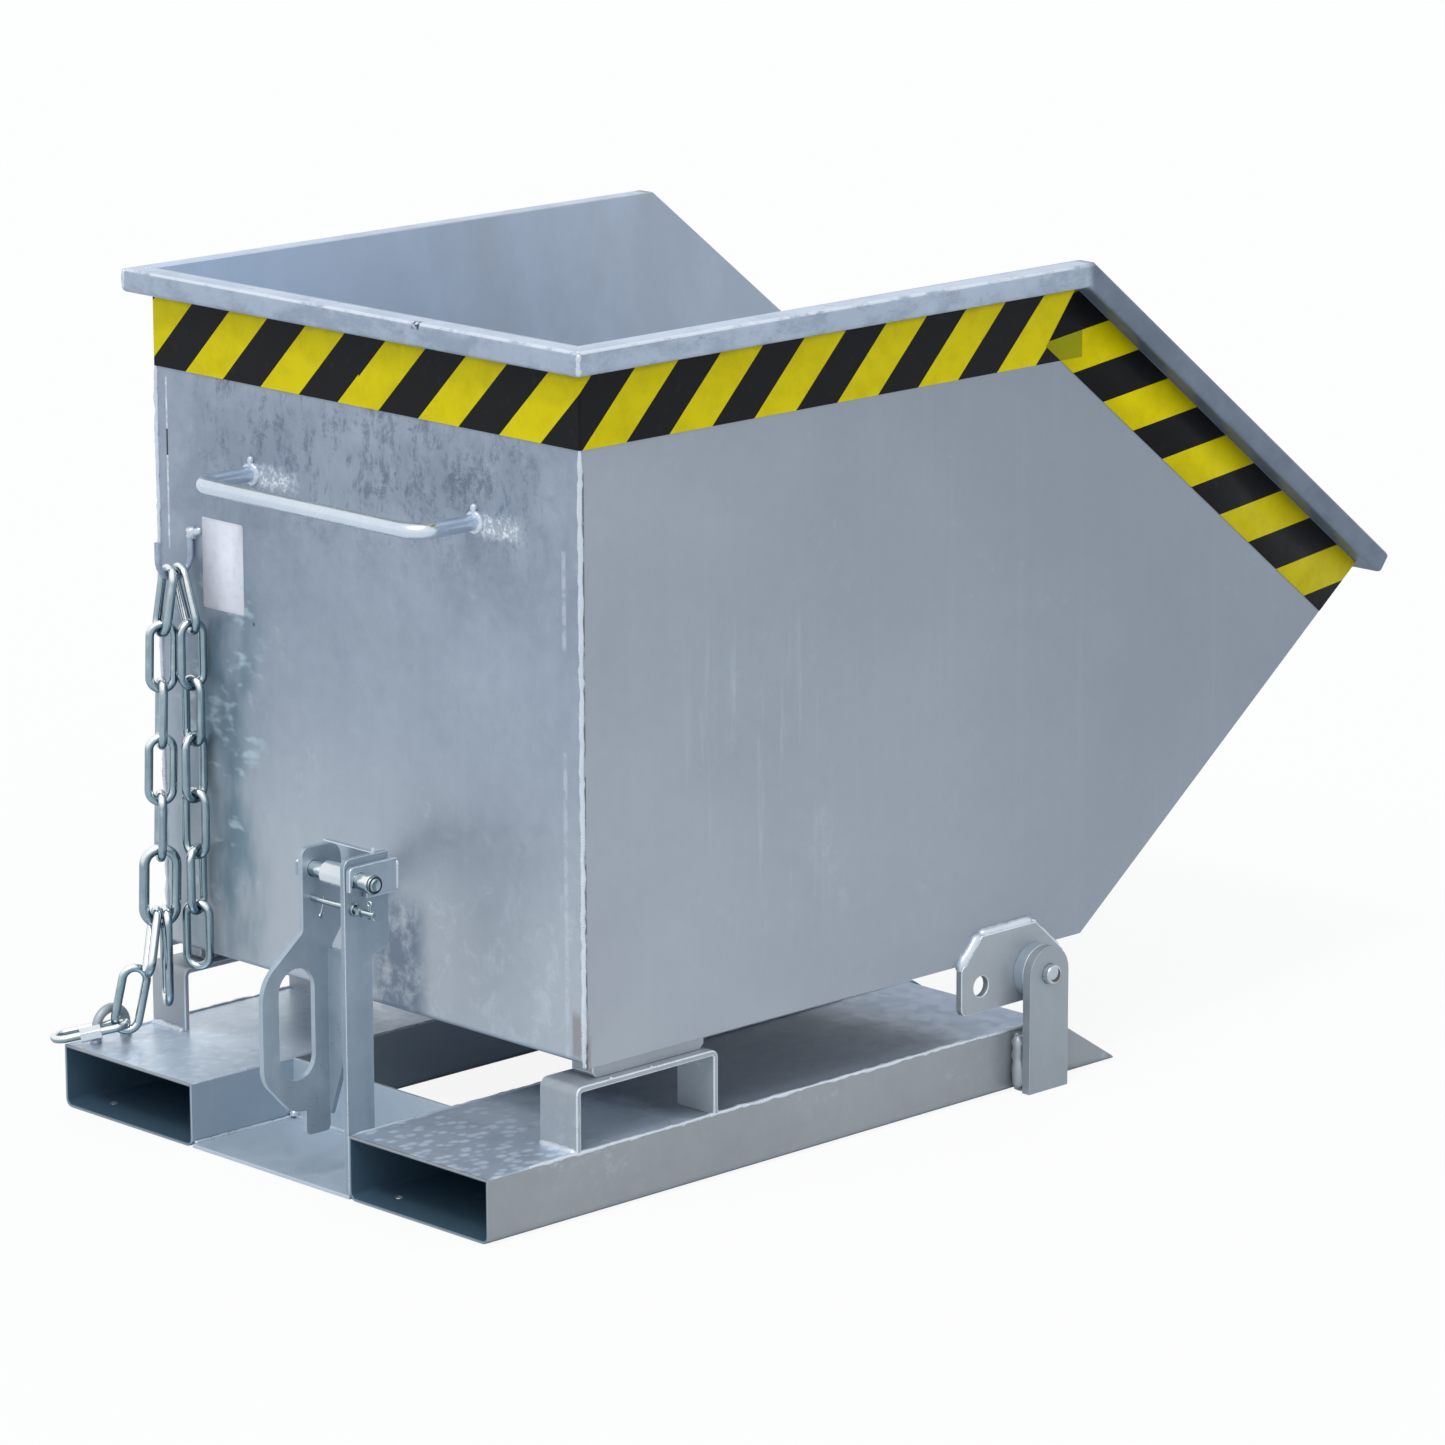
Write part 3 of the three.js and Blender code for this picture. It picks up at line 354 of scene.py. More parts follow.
def pocketMarks(finish, colour, height, x, y, z):
    m = pocketLook
    onTop = z.rise(0.0654, 0.0658)
    rightSide = 1 - y.rise(-0.1, 0.1)
    # painted sky light on the pocket tops, fading towards the front
    sky = onTop * (finish.noise(4, 3, 0.6).rise(0.26, 0.60) * 0.20 + 0.80 - x.rise(0.25, 0.60) * 0.35)
    colour = finish.tint(colour, sky, m["sky"])
    tread = finish.cells(64, "Distance", stretch=(1.0, 1.35, 1.0))
    rearEnd = 1 - x.rise(0.02, 0.15)
    bars = (1 - tread.rise(0.14, 0.34)) * rearEnd * onTop
    between = tread.rise(0.26, 0.52) * rearEnd * onTop * (rightSide * 0.7 + 0.3)
    colour = finish.tint(colour, between * 0.42, m["between"])
    colour = finish.tint(colour, bars * 0.4, m["bar"])
    wear = finish.noise(16, 6, 0.75).rise(0.48, 0.64) * onTop
    colour = finish.tint(colour, wear * 0.20, m["wear"])
    # painted shadow of the bucket on the pocket tops, with a ragged edge
    bucketShadowEdge = finish.noise(9, 5, 0.7, warp=0.5)
    damp = onTop * (x + bucketShadowEdge * 0.10 + y * 0.25).near(0.385, 0.165, 0.06) * (rightSide * 0.75 + 0.25)
    colour = finish.tint(colour, damp * 0.66, m["damp"])
    # painted light on the pocket tops beyond the bucket's shadow
    farEnd = onTop * x.rise(0.55, 0.66)
    colour = finish.tint(colour, farEnd * 0.45, m["farEnd"])
    # painted light on the pocket sides that face each other
    facingIn = abs(y).near(0.12, 0.0012, 0.0008) * (1 - onTop)
    colour = finish.tint(colour, facingIn * 0.50, m["facingIn"])
    lip = onTop * (1 - x.rise(-0.0655, -0.0640))
    colour = finish.tint(colour, lip * 0.6, m["lip"])
    # painted bluish shade inside the pockets
    inside = z.near(0.033, 0.0305, 0.0008) * abs(y).near(0.2215, 0.0990, 0.0008)
    colour = finish.tint(colour, inside * 0.85, m["inside"])
    return colour, height + bars * 1.4


def paintedLightAndShade(finish, colour, height, x, y, z):
    # painted highlights where the surface faces the lamps, painted shade where it faces away
    uneven = (finish.noise(40, 3, 0.6) - 0.5) * 0.5
    turn = finish.facing(brightLook["lit"]) + uneven
    under = 1 - turn.rise(-0.25, 0.30)
    colour = finish.tint(colour, under * 0.75, brightLook["under"])
    colour = finish.tint(colour, turn.rise(0.50, 0.85) * 0.9, brightLook["glint"])
    return colour, height


def pinMarks(finish, colour, height, x, y, z):  # a rusty crescent in the pin's end
    def away(place):
        across, up = x - place[0], z - place[1]
        return (across * across + up * up).power(0.5)

    crescent = (1 - away(pinEnd["middle"]).rise(0.0070, 0.0078)) \
        * away(pinEnd["clean"]).rise(0.0066, 0.0076)
    colour = finish.tint(colour, crescent * 0.9, pinEnd["rust"])
    return colour, height - crescent * 2


def rimMarks(finish, colour, height, x, y, z):
    m = rimLook
    # painted sky light on the rim's top face, broken up by wear
    onTop = z.rise(0.8550, 0.8566)
    worn = finish.noise(34, 6, 0.7, stretch=(0.4, 0.4, 1.0))
    colour = finish.tint(colour, onTop * (worn.rise(0.30, 0.60) * 0.5 + 0.1), m["sky"])
    mottle = finish.noise(24, 6, 0.75, stretch=(0.6, 0.6, 1.0)).rise(0.44, 0.62) * (1 - onTop)
    colour = finish.tint(colour, mottle * 0.42, m["mottle"])
    # painted highlight along the rim's top edge
    edge = z.near(0.8553, 0.0009, 0.0008) * finish.noise(30, 4, 0.7).rise(0.34, 0.50)
    colour = finish.tint(colour, edge * 0.65, m["edge"])
    scuffs = finish.noise(120, 5, 0.75, stretch=(0.3, 0.3, 1.0)).rise(0.60, 0.70)
    colour = finish.tint(colour, scuffs * 0.4, m["scuff"])
    scratch = y.near(-0.108, 0.0045, 0.0015) * (1 - x.rise(0.0500, 0.0530)) * z.rise(0.8490, 0.8515)
    colour = finish.tint(colour, scratch * finish.noise(200, 3).rise(0.40, 0.55), m["scratch"])
    slope = x.rise(0.750, 0.762) * (finish.noise(20, 4, 0.6) * 0.3 + 0.60)  # painted shade down the sloping rim
    colour = finish.tint(colour, slope, m["slope"])
    return colour, height + scuffs * 0.3


rearFinish = galvanised("zincRearSheet", (126, 138, 156), (180, 192, 206), 0.18, extra=rearWallMarks)
sideFinish = galvanised("zincSideWall", (146, 155, 167), (176, 184, 195), 0.10, 0.12, sideWallMarks)
barFinish = galvanised("zincRimBar", (150, 164, 182), (186, 200, 218), 0.2, extra=rimMarks)
plateFinish = galvanised("zincPlate", (146, 154, 161), (182, 189, 196), 0.2)
postFinish = galvanised("zincPost", (138, 146, 153), (172, 180, 188), 0.2)
baseFinish = galvanised("zincBasePlate", (172, 187, 201), (208, 221, 233), 0.15)
leverFinish = galvanised("zincLatchPlate", (138, 155, 170), (190, 203, 214), 0.5, roughness=0.34,
                         cloud=9)
uprightFinish = galvanised("zincUpright", (124, 141, 156), (170, 184, 197), 0.5, roughness=0.34, cloud=9)
handleFinish = galvanised("zincHandle", (186, 201, 218), (230, 238, 248), 0.05, 0.2, metallic=0.85,
                          roughness=0.24)
sleeveFinish = galvanised("zincSleeve", (196, 206, 214), (236, 241, 246), 0.05, 0.1, metallic=0.9,
                          roughness=0.2)
# the bevelled edges of cut plates: partly edge wear, partly painted highlight
edgeWearAndGlintFinish = galvanised("zincEdge", (190, 202, 216), (232, 240, 248), 0.1, 0.3, roughness=0.3)
pocketFinish = galvanised("zincPocket", (138, 144, 149), (170, 175, 180), 0.2, extra=pocketMarks,
                          metallic=0.6, roughness=0.36)
weldFinish = galvanised("zincWeld", (180, 192, 206), (232, 238, 246), 0.1, 0.5, roughness=0.3)
brightFinish = galvanised("zincBright", (104, 130, 142), (176, 194, 202), 0.1, 0.1, paintedLightAndShade,
                          metallic=0.95, roughness=0.14, cloud=14)
pinFinish = galvanised("zincPin", (160, 172, 182), (206, 214, 220), 0.1, 0.2, pinMarks,
                       metallic=0.8, roughness=0.24)


def darkSteel():
    finish = Finish("darkSteel", Metallic=0.6)
    grain = finish.noise(400, 3, 0.6)
    finish.feed("Base Color", finish.mix(grain, linear(26, 28, 38), linear(58, 60, 74)))
    finish.feed("Roughness", grain * 0.2 + 0.3)
    finish.bump(grain, 0.1, 0.0003)
    return finish.material


darkFinish = darkSteel()
print("zinc finishes set")


def openMesh():  # into edit mode, with everything selected
    bpy.ops.object.mode_set(mode="EDIT")
    bpy.ops.mesh.select_all(action="SELECT")


def closeMesh():
    bpy.ops.object.mode_set(mode="OBJECT")


def freshStart():
    if bpy.context.mode != "OBJECT":
        closeMesh()
    bpy.ops.object.select_all(action="DESELECT")


def only(thing):
    freshStart()
    thing.select_set(True)
    bpy.context.view_layer.objects.active = thing


def camel(node):
    first, *rest = node.split("_")
    return first + "".join(word.capitalize() for word in rest)


def settle(thing, name, smooth=35):  # its place goes into its mesh, and its faces point out
    only(thing)
    bpy.ops.object.transform_apply(location=True, rotation=True, scale=True)
    openMesh()
    bpy.ops.mesh.remove_doubles(threshold=0.00001)
    bpy.ops.mesh.normals_make_consistent(inside=False)
    closeMesh()
    bpy.ops.object.shade_smooth_by_angle(angle=math.radians(smooth))
    thing.name = thing.data.name = name
    return thing


def addModifier(thing, kind, **settings):
    only(thing)
    modifier = thing.modifiers.new(kind.lower(), kind)
    for key, value in settings.items():
        setattr(modifier, key, value)
    bpy.ops.object.modifier_apply(modifier=modifier.name)


def pick(thing, test, parts="faces"):  # in edit mode: selects what the test says yes to
    cage = bmesh.from_edit_mesh(thing.data)
    for kind in ("verts", "edges", "faces"):
        for element in getattr(cage, kind):
            element.select_set(False)
    bpy.context.tool_settings.mesh_select_mode = (parts == "verts", parts == "edges", parts == "faces")
    cage.select_mode = {"verts": {"VERT"}, "edges": {"EDGE"}, "faces": {"FACE"}}[parts]
    for element in getattr(cage, parts):
        if test(element):
            element.select_set(True)
    cage.select_flush_mode()
    bmesh.update_edit_mesh(thing.data)


def middle(element):
    return sum((v.co for v in element.verts), Vector()) / len(element.verts)


def finished(piece, body, finish, slot, *nodes):
    if finish:
        piece.data.materials.clear()
        piece.data.materials.append(finish)
    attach(piece, body)
    if nodes:
        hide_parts(*nodes)


def cadCopy(name, node):  # a copy of a CAD node left in edit mode, with its triangles merged
    piece = bpy.data.objects.new(name, frame["nodes"][node].data.copy())
    scene.collection.objects.link(piece)
    only(piece)
    piece.name = piece.data.name = name
    bpy.ops.mesh.customdata_custom_splitnormals_clear()
    openMesh()
    bpy.ops.mesh.remove_doubles(threshold=0.00002)
    return piece


# Cut plates: the width of their broken edges, their finish and their nodes
plates = {
    "latch": (0.0011, leverFinish, "latch_lever", "catch_bracket"),
    "upright": (0.0011, uprightFinish, "latch_upright"),
    "bracket": (0.0013, plateFinish, "rest_bracket_left", "rest_bracket_right"),
    "ear": (0.0013, plateFinish, "pivot_ear_left", "pivot_ear_right"),
    "post": (0.0013, postFinish, "post_left", "post_right", "post_spacer_left", "post_spacer_right"),
    "collar": (0.0012, leverFinish, "pivot_collar_left", "pivot_collar_right"),
    "shoe": (0.0010, plateFinish, "rest_shoe_left", "rest_shoe_right"),
    "base": (0.0006, baseFinish, "ground_plate", "cross_plate_rear", "cross_plate_front"),
    "pocket": (0.0007, pocketFinish, "pocket_channel_left", "pocket_channel_right",
               "pocket_top_left", "pocket_top_right"),
    "wall": (0.0006, sideFinish, "side_wall_left", "side_wall_right"),
    "wrap": (0.0006, rearFinish, "bucket_sheet"),
    "pin": (0.0010, pinFinish, "pivot_pin_left", "pivot_pin_right"),
    "sleeve": (0.0010, sleeveFinish, "latch_sleeve"),
    "rod": (0.0006, brightFinish, "lock_rod"),
}
slots = {row["node"]: row["material_slot"] for row in frame["record"]["subparts"]}


def brokenEdges(node, width, finish):
    piece = cadCopy(camel(node), node)
    bpy.ops.mesh.dissolve_limited(angle_limit=math.radians(1))
    closeMesh()
    piece.data.materials.clear()
    for layer in (finish, edgeWearAndGlintFinish):
        piece.data.materials.append(layer)
    # on the latch, upright, plates and posts the bevels take the edge finish: edge wear and painted
    # highlight
    brightEdge = 1 if finish in (leverFinish, uprightFinish, plateFinish, postFinish) else 0
    addModifier(piece, "BEVEL", width=width, segments=3, limit_method="ANGLE",
                angle_limit=math.radians(32), material=brightEdge)
    bpy.ops.object.shade_smooth_by_angle(angle=math.radians(40))
    addModifier(piece, "WEIGHTED_NORMAL", keep_sharp=True)  # the flat faces stay flat
    if not brightEdge:
        piece.data.materials.pop()
    finished(piece, frame["nodes"][node]["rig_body"], None, slots[node], node)


for width, finish, *nodes in plates.values():
    for node in nodes:
        brokenEdges(node, width, finish)
print("plates cut, edges broken")


# The rim: square tube, mitred and welded into one frame round the bucket's mouth
rim = {"bars": {"rim_rear": (0, 1, 0), "rim_top_left": (1, 0, 0), "rim_top_right": (1, 0, 0),
                "rim_slope_left": None, "rim_slope_right": None, "rim_lip": (0, 1, 0)},
       "slope": 38.3, "weld": 0.0003}


def weldedRim():
    down = Vector((math.cos(math.radians(rim["slope"])), 0, -math.sin(math.radians(rim["slope"]))))
    bars = []
    for node, along in rim["bars"].items():
        bar = cadCopy(node, node)
        pick(bar, lambda f: abs(f.normal.dot(Vector(along) if along else down)) > 0.3)
        bpy.ops.mesh.delete(type="FACE")  # its ends open into the next bar
        closeMesh()
        bars.append(bar)
    freshStart()
    for bar in bars:
        bar.select_set(True)
    bpy.context.view_layer.objects.active = bars[0]
    bpy.ops.object.join()
    piece = bars[0]
    openMesh()
    bpy.ops.mesh.remove_doubles(threshold=rim["weld"])
    bpy.ops.mesh.dissolve_limited(angle_limit=math.radians(1))
    closeMesh()
    settle(piece, "rimFrame", 40)
    finished(piece, "bucket", barFinish, "galvanised_bar", *rim["bars"])


weldedRim()
print("rim welded up")


# Round bars, drawn out and bent: runs are straight, turns go round a centre
def bentBar(name, start, along, radius, steps, sides=16):
    freshStart()
    bpy.ops.mesh.primitive_circle_add(vertices=sides, radius=radius, location=start,
                                      rotation=Vector(along).to_track_quat("Z", "Y").to_euler())
    bar = bpy.context.object
    openMesh()
    bpy.context.tool_settings.mesh_select_mode = (True, False, False)
    bpy.ops.mesh.select_all(action="SELECT")
    for step in steps:
        if step[0] == "run":
            bpy.ops.mesh.extrude_region_move(TRANSFORM_OT_translate={"value": step[1]})
        else:
            _, centre, axis, angle, cuts = step
            bpy.ops.mesh.spin(steps=cuts, angle=math.radians(angle), center=centre, axis=axis)
    bpy.ops.mesh.select_all(action="SELECT")
    bpy.ops.mesh.remove_doubles(threshold=0.00001)
    bpy.ops.mesh.fill_holes(sides=0)
    closeMesh()
    return settle(bar, name, 50)


handle = {"wall": 0.0672, "bar": -0.007, "half": 0.1665, "height": 0.666, "radius": 0.008,
          "bend": 0.022}


def pushHandle():
    h = handle
    reach = h["wall"] - h["bar"] - h["bend"]
    turn = h["bar"] + h["bend"]
    side = h["half"] - h["bend"]
    bar = bentBar("pushHandle", (h["wall"], -h["half"], h["height"]), (-1, 0, 0), h["radius"], [
        ("run", (-reach, 0, 0)),
        ("turn", (turn, -side, h["height"]), (0, 0, 1), 90, 8),
        ("run", (0, 2 * side, 0)),
        ("turn", (turn, side, h["height"]), (0, 0, 1), 90, 8),
        ("run", (reach, 0, 0)),
    ])
    finished(bar, "bucket", handleFinish, "galvanised_bar", "push_handle")


# Bars bent through a half circle: its middle, the way from there to the bar's start, and its ends' heights
bows = {
    "chain_hook": {"place": (0.0417, 0.261), "reach": 0.0215, "height": 0.5705, "ends": (0.590, 0.588),
                   "radius": 0.0033, "body": "bucket", "finish": barFinish},
    "chain_eye": {"place": (-0.020, 0.305), "reach": -0.0195, "height": 0.0795, "ends": (0.066, 0.066),
                  "radius": 0.005, "body": "frame", "finish": plateFinish},
}


def bentBow(node, place, reach, height, ends, radius, body, finish):
    x, y = place
    first, last = ends
    bar = bentBar(camel(node), (x + reach, y, first), (0, 0, 1 if first < height else -1), radius, [
        ("run", (0, 0, height - first)),
        ("turn", (x, y, height), (0, -1, 0), 180, 14),
        ("run", (0, 0, last - height)),
    ], 12)
    finished(bar, body, finish, "galvanised_bar", node)


pushHandle()
for node, shape in bows.items():
    bentBow(node, **shape)
print("handle, hook and eye bent")


# Chain links: one ring is pulled out to the length of the link and laid where the CAD link lies.
# Each kind has the radius of its wire and the radius of its bow.
links = {"plain": (0.0045, 0.0125), "joining": (0.0055, 0.0165), "loose": (0.0045, 0.014),
         "quick": (0.004, 0.0125), "rings": 32, "sides": 14}


def longest(arms, start, beside):  # settles on the direction the arms reach out most, square to another
    way = start.normalized()
    for _ in range(30):
        pull = sum((arm * arm.dot(way) for arm in arms[::3]), Vector())
        way = (pull - beside * pull.dot(beside)).normalized()
    return way


def lieOf(node):  # its middle, its length, and the directions of its length and width
    low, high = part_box(node)
    centre = (low + high) / 2
    arms = [v.co - centre for v in frame["nodes"][node].data.vertices]
    along = longest(arms, max(arms, key=lambda arm: arm.length), Vector())
    sideways = [arm - along * arm.dot(along) for arm in arms]
    across = longest(arms, max(sideways, key=lambda arm: arm.length), along)
    reach = [arm.dot(along) for arm in arms]
    return centre + along * (max(reach) + min(reach)) / 2, max(reach) - min(reach), along, across


def ringLink(node, kind, body):
    wire, bow = links[kind]
    centre, length, along, across = lieOf(node)
    pull = length / 2 - bow - wire
    freshStart()
    bpy.ops.mesh.primitive_torus_add(major_radius=bow, minor_radius=wire, major_segments=links["rings"],
                                     minor_segments=links["sides"])
    link = bpy.context.object
    openMesh()
    pick(link, lambda f: middle(f).x > 0)
    bpy.ops.mesh.split()
    bpy.ops.transform.translate(value=(pull, 0, 0))
    pick(link, lambda f: middle(f).x < 0)
    bpy.ops.transform.translate(value=(-pull, 0, 0))
    for side in (-1, 1):
        pick(link, lambda e: e.is_boundary and middle(e).y * side > 0, "edges")
        bpy.ops.mesh.bridge_edge_loops()
    closeMesh()
    link.matrix_world = Matrix.Translation(centre) @ Matrix(
        (along, across, along.cross(across))).transposed().to_4x4()
    settle(link, camel(node), 80)
    finished(link, body, brightFinish, "bright_zinc", node)


for node in frame["nodes"]:
    if node.startswith(("chain_one", "chain_two", "chain_lower")):
        ringLink(node, "plain", "chain_hank")
ringLink("chain_joining_link", "joining", "chain_hank")
ringLink("chain_loose_link", "loose", "chain_hank")
ringLink("chain_end_link", "plain", "quick_link")
ringLink("quick_link", "quick", "quick_link")
brokenEdges("quick_link_nut", 0.0012, sleeveFinish)
print("chain hung")


# Turned parts: a disc drawn out along its axis; each step is the way along it and the radius there
def turned(name, base, along, steps, sides=32):
    base, along = Vector(base), Vector(along)
    freshStart()
    bpy.ops.mesh.primitive_circle_add(vertices=sides, radius=steps[0][1], fill_type="NGON",
                                      location=base + along * steps[0][0],
                                      rotation=along.to_track_quat("Z", "Y").to_euler())
    piece = bpy.context.object
    openMesh()
    for (last, wide), (now, radius) in zip(steps, steps[1:]):
        bpy.ops.mesh.extrude_region_move(TRANSFORM_OT_translate={"value": along * (now - last)})
        bpy.ops.transform.resize(value=(radius / wide,) * 3, center_override=base + along * now)
    closeMesh()
    return settle(piece, name)


def wireRing(name, place, turn, radius, wire, around=20, stretch=1.0):
    freshStart()
    bpy.ops.mesh.primitive_torus_add(major_radius=radius, minor_radius=wire, major_segments=around,
                                     minor_segments=8, location=place, rotation=turn)
    bpy.context.object.scale.z = stretch
    return settle(bpy.context.object, name, 80)


bolt = {
    "axis": (-0.052, 0.322), "far": -0.0427,
    "head": [(0, 0.0106), (0.0008, 0.0130), (0.009, 0.0130)],
    "shank": [(0.0085, 0.008), (0.0880, 0.008), (0.0885, 0.0084), (0.1002, 0.0084), (0.1007, 0.010),
              (0.1037, 0.010), (0.1040, 0.0084), (0.1060, 0.0082), (0.1071, 0.0064), (0.1077, 0.0056),
              (0.1071, 0.0034), (0.1067, 0.0010)],
    "clip": {"along": 0.1063, "radius": 0.0077, "wire": 0.0009},
}


def latchBolt():
    x, z = bolt["axis"]
    base, near, clip = (x, bolt["far"], z), (0, -1, 0), bolt["clip"]
    head = turned("latchBoltHead", base, near, bolt["head"], 6)
    shank = turned("latchBolt", base, near, bolt["shank"])
    ring = wireRing("latchBoltClip", (x, bolt["far"] - clip["along"], z), (math.pi / 2, 0, 0),
                    clip["radius"], clip["wire"], 36)
    finished(head, "frame", brightFinish, "bright_zinc")
    finished(shank, "frame", brightFinish, "bright_zinc", "latch_bolt")
    finished(ring, "frame", darkFinish, "bright_zinc")


lockPins = {
    "axis": (-0.055, 0.293), "upright": -0.120, "pin": -0.1412, "farPin": -0.0750, "nutGap": 0.0075,
    "washer": [(0.0002, 0.0058), (0.0006, 0.0064), (0.0034, 0.0064), (0.0039, 0.0058)],
    "nut": [(0, 0.0050), (0.0005, 0.0058), (0.0042, 0.0058), (0.0048, 0.0050)],
    "wire": 0.0012, "head": 0.0026, "farWire": 0.0008, "eye": 0.0016, "eyeWire": 0.0009,
}
catchTab = {"foot": (-0.0285, -0.117, 0.3400), "along": (0.25, -0.1, 1),
            "steps": [(0, 0.0020), (0.0006, 0.0024), (0.0085, 0.0022), (0.0093, 0.0014)]}


def lockPinEnds():
    p = lockPins
    x, z = p["axis"]
    near, down = (0, -1, 0), (0, 0, -1)
    pieces = [turned("lockRodWasher", (x, p["upright"], z), near, p["washer"], 24),
              turned("lockRodNut", (x, p["upright"] - p["nutGap"], z), near, p["nut"], 6)]
    for word, turn in (("Near", 1), ("Far", -1)):
        foot = (x + 0.002, p["pin"] + turn * p["wire"], z + 0.0070)
        pieces.append(bentBar("splitPinLeg" + word, foot, down, p["wire"], [
            ("run", (0, 0, -0.0110)),
            ("run", (0.0028, turn * 0.0028, -0.0036)),
            ("run", (0.0042, turn * 0.0036, 0.0012)),
        ], 8))
    pieces.append(wireRing("splitPinHead", (x + 0.002, p["pin"], z + 0.0090), (0, math.pi / 2, 0),
                           p["head"], p["wire"]))
    pieces.append(bentBar("splitPinFar", (x + 0.0005, p["farPin"], z + 0.0045), down, p["farWire"], [
        ("run", (-0.0010, 0, -0.0080)),
        ("run", (-0.0035, 0, -0.0100)),
    ], 8))
    pieces.append(wireRing("splitPinEye", (x - 0.0044, p["farPin"], z - 0.0142), (math.pi / 2, 0, 0.6),
                           p["eye"], p["eyeWire"], stretch=1.4))
    for piece in pieces:
        finished(piece, "frame", brightFinish, "bright_zinc")
    tab = turned("catchTab", catchTab["foot"], catchTab["along"], catchTab["steps"], 8)
    finished(tab, "frame", weldFinish, "galvanised_bar")


latchBolt()
lockPinEnds()
print("latch bolt and pins turned")


# Weld beads: a bar cut into short lengths, swollen and slumped by cloud noise under the zinc
lumps = bpy.data.textures.new("weldLumps", "CLOUDS")
lumps.noise_scale = 0.006
lumps.noise_depth = 2
beadShape = {"sides": 10, "spacing": 1.1, "mostCuts": 90, "tip": 0.55, "level": 0.5}
ringShape = {"around": 40, "rough": 1.3, "level": 0.45}
sides = ((1, "Left"), (-1, "Right"))


def roughened(piece, strength, level):
    addModifier(piece, "DISPLACE", texture=lumps, texture_coords="LOCAL", strength=strength,
                mid_level=level)


def weldBead(name, start, end, radius, body, rough, finish=weldFinish):
    start, end = Vector(start), Vector(end)
    length = (end - start).length
    cuts = max(3, int(length / (radius * beadShape["spacing"])))
    freshStart()
    bpy.ops.mesh.primitive_cylinder_add(vertices=beadShape["sides"], radius=radius, depth=length,
                                        location=(start + end) / 2,
                                        rotation=(end - start).to_track_quat("Z", "Y").to_euler())
    bead = bpy.context.object
    openMesh()
    pick(bead, lambda e: abs(e.verts[0].co.z - e.verts[1].co.z) > length * 0.5, "edges")
    bpy.ops.mesh.subdivide(number_cuts=min(cuts, beadShape["mostCuts"]))
    for way, tip in ((-1, start), (1, end)):
        pick(bead, lambda v: v.co.z * way > length * 0.4999, "verts")
        bpy.ops.transform.resize(value=(beadShape["tip"],) * 3, center_override=tip)
    closeMesh()
    settle(bead, name, 70)
    roughened(bead, radius * rough, beadShape["level"])
    finished(bead, body, finish, "galvanised_bar")


def weldRing(name, centre, across, radius, thick, body):
    ring = wireRing(name, centre, Vector(across).to_track_quat("Z", "Y").to_euler(), radius, thick,
                    ringShape["around"])
    roughened(ring, thick * ringShape["rough"], ringShape["level"])
    finished(ring, body, weldFinish, "galvanised_bar")


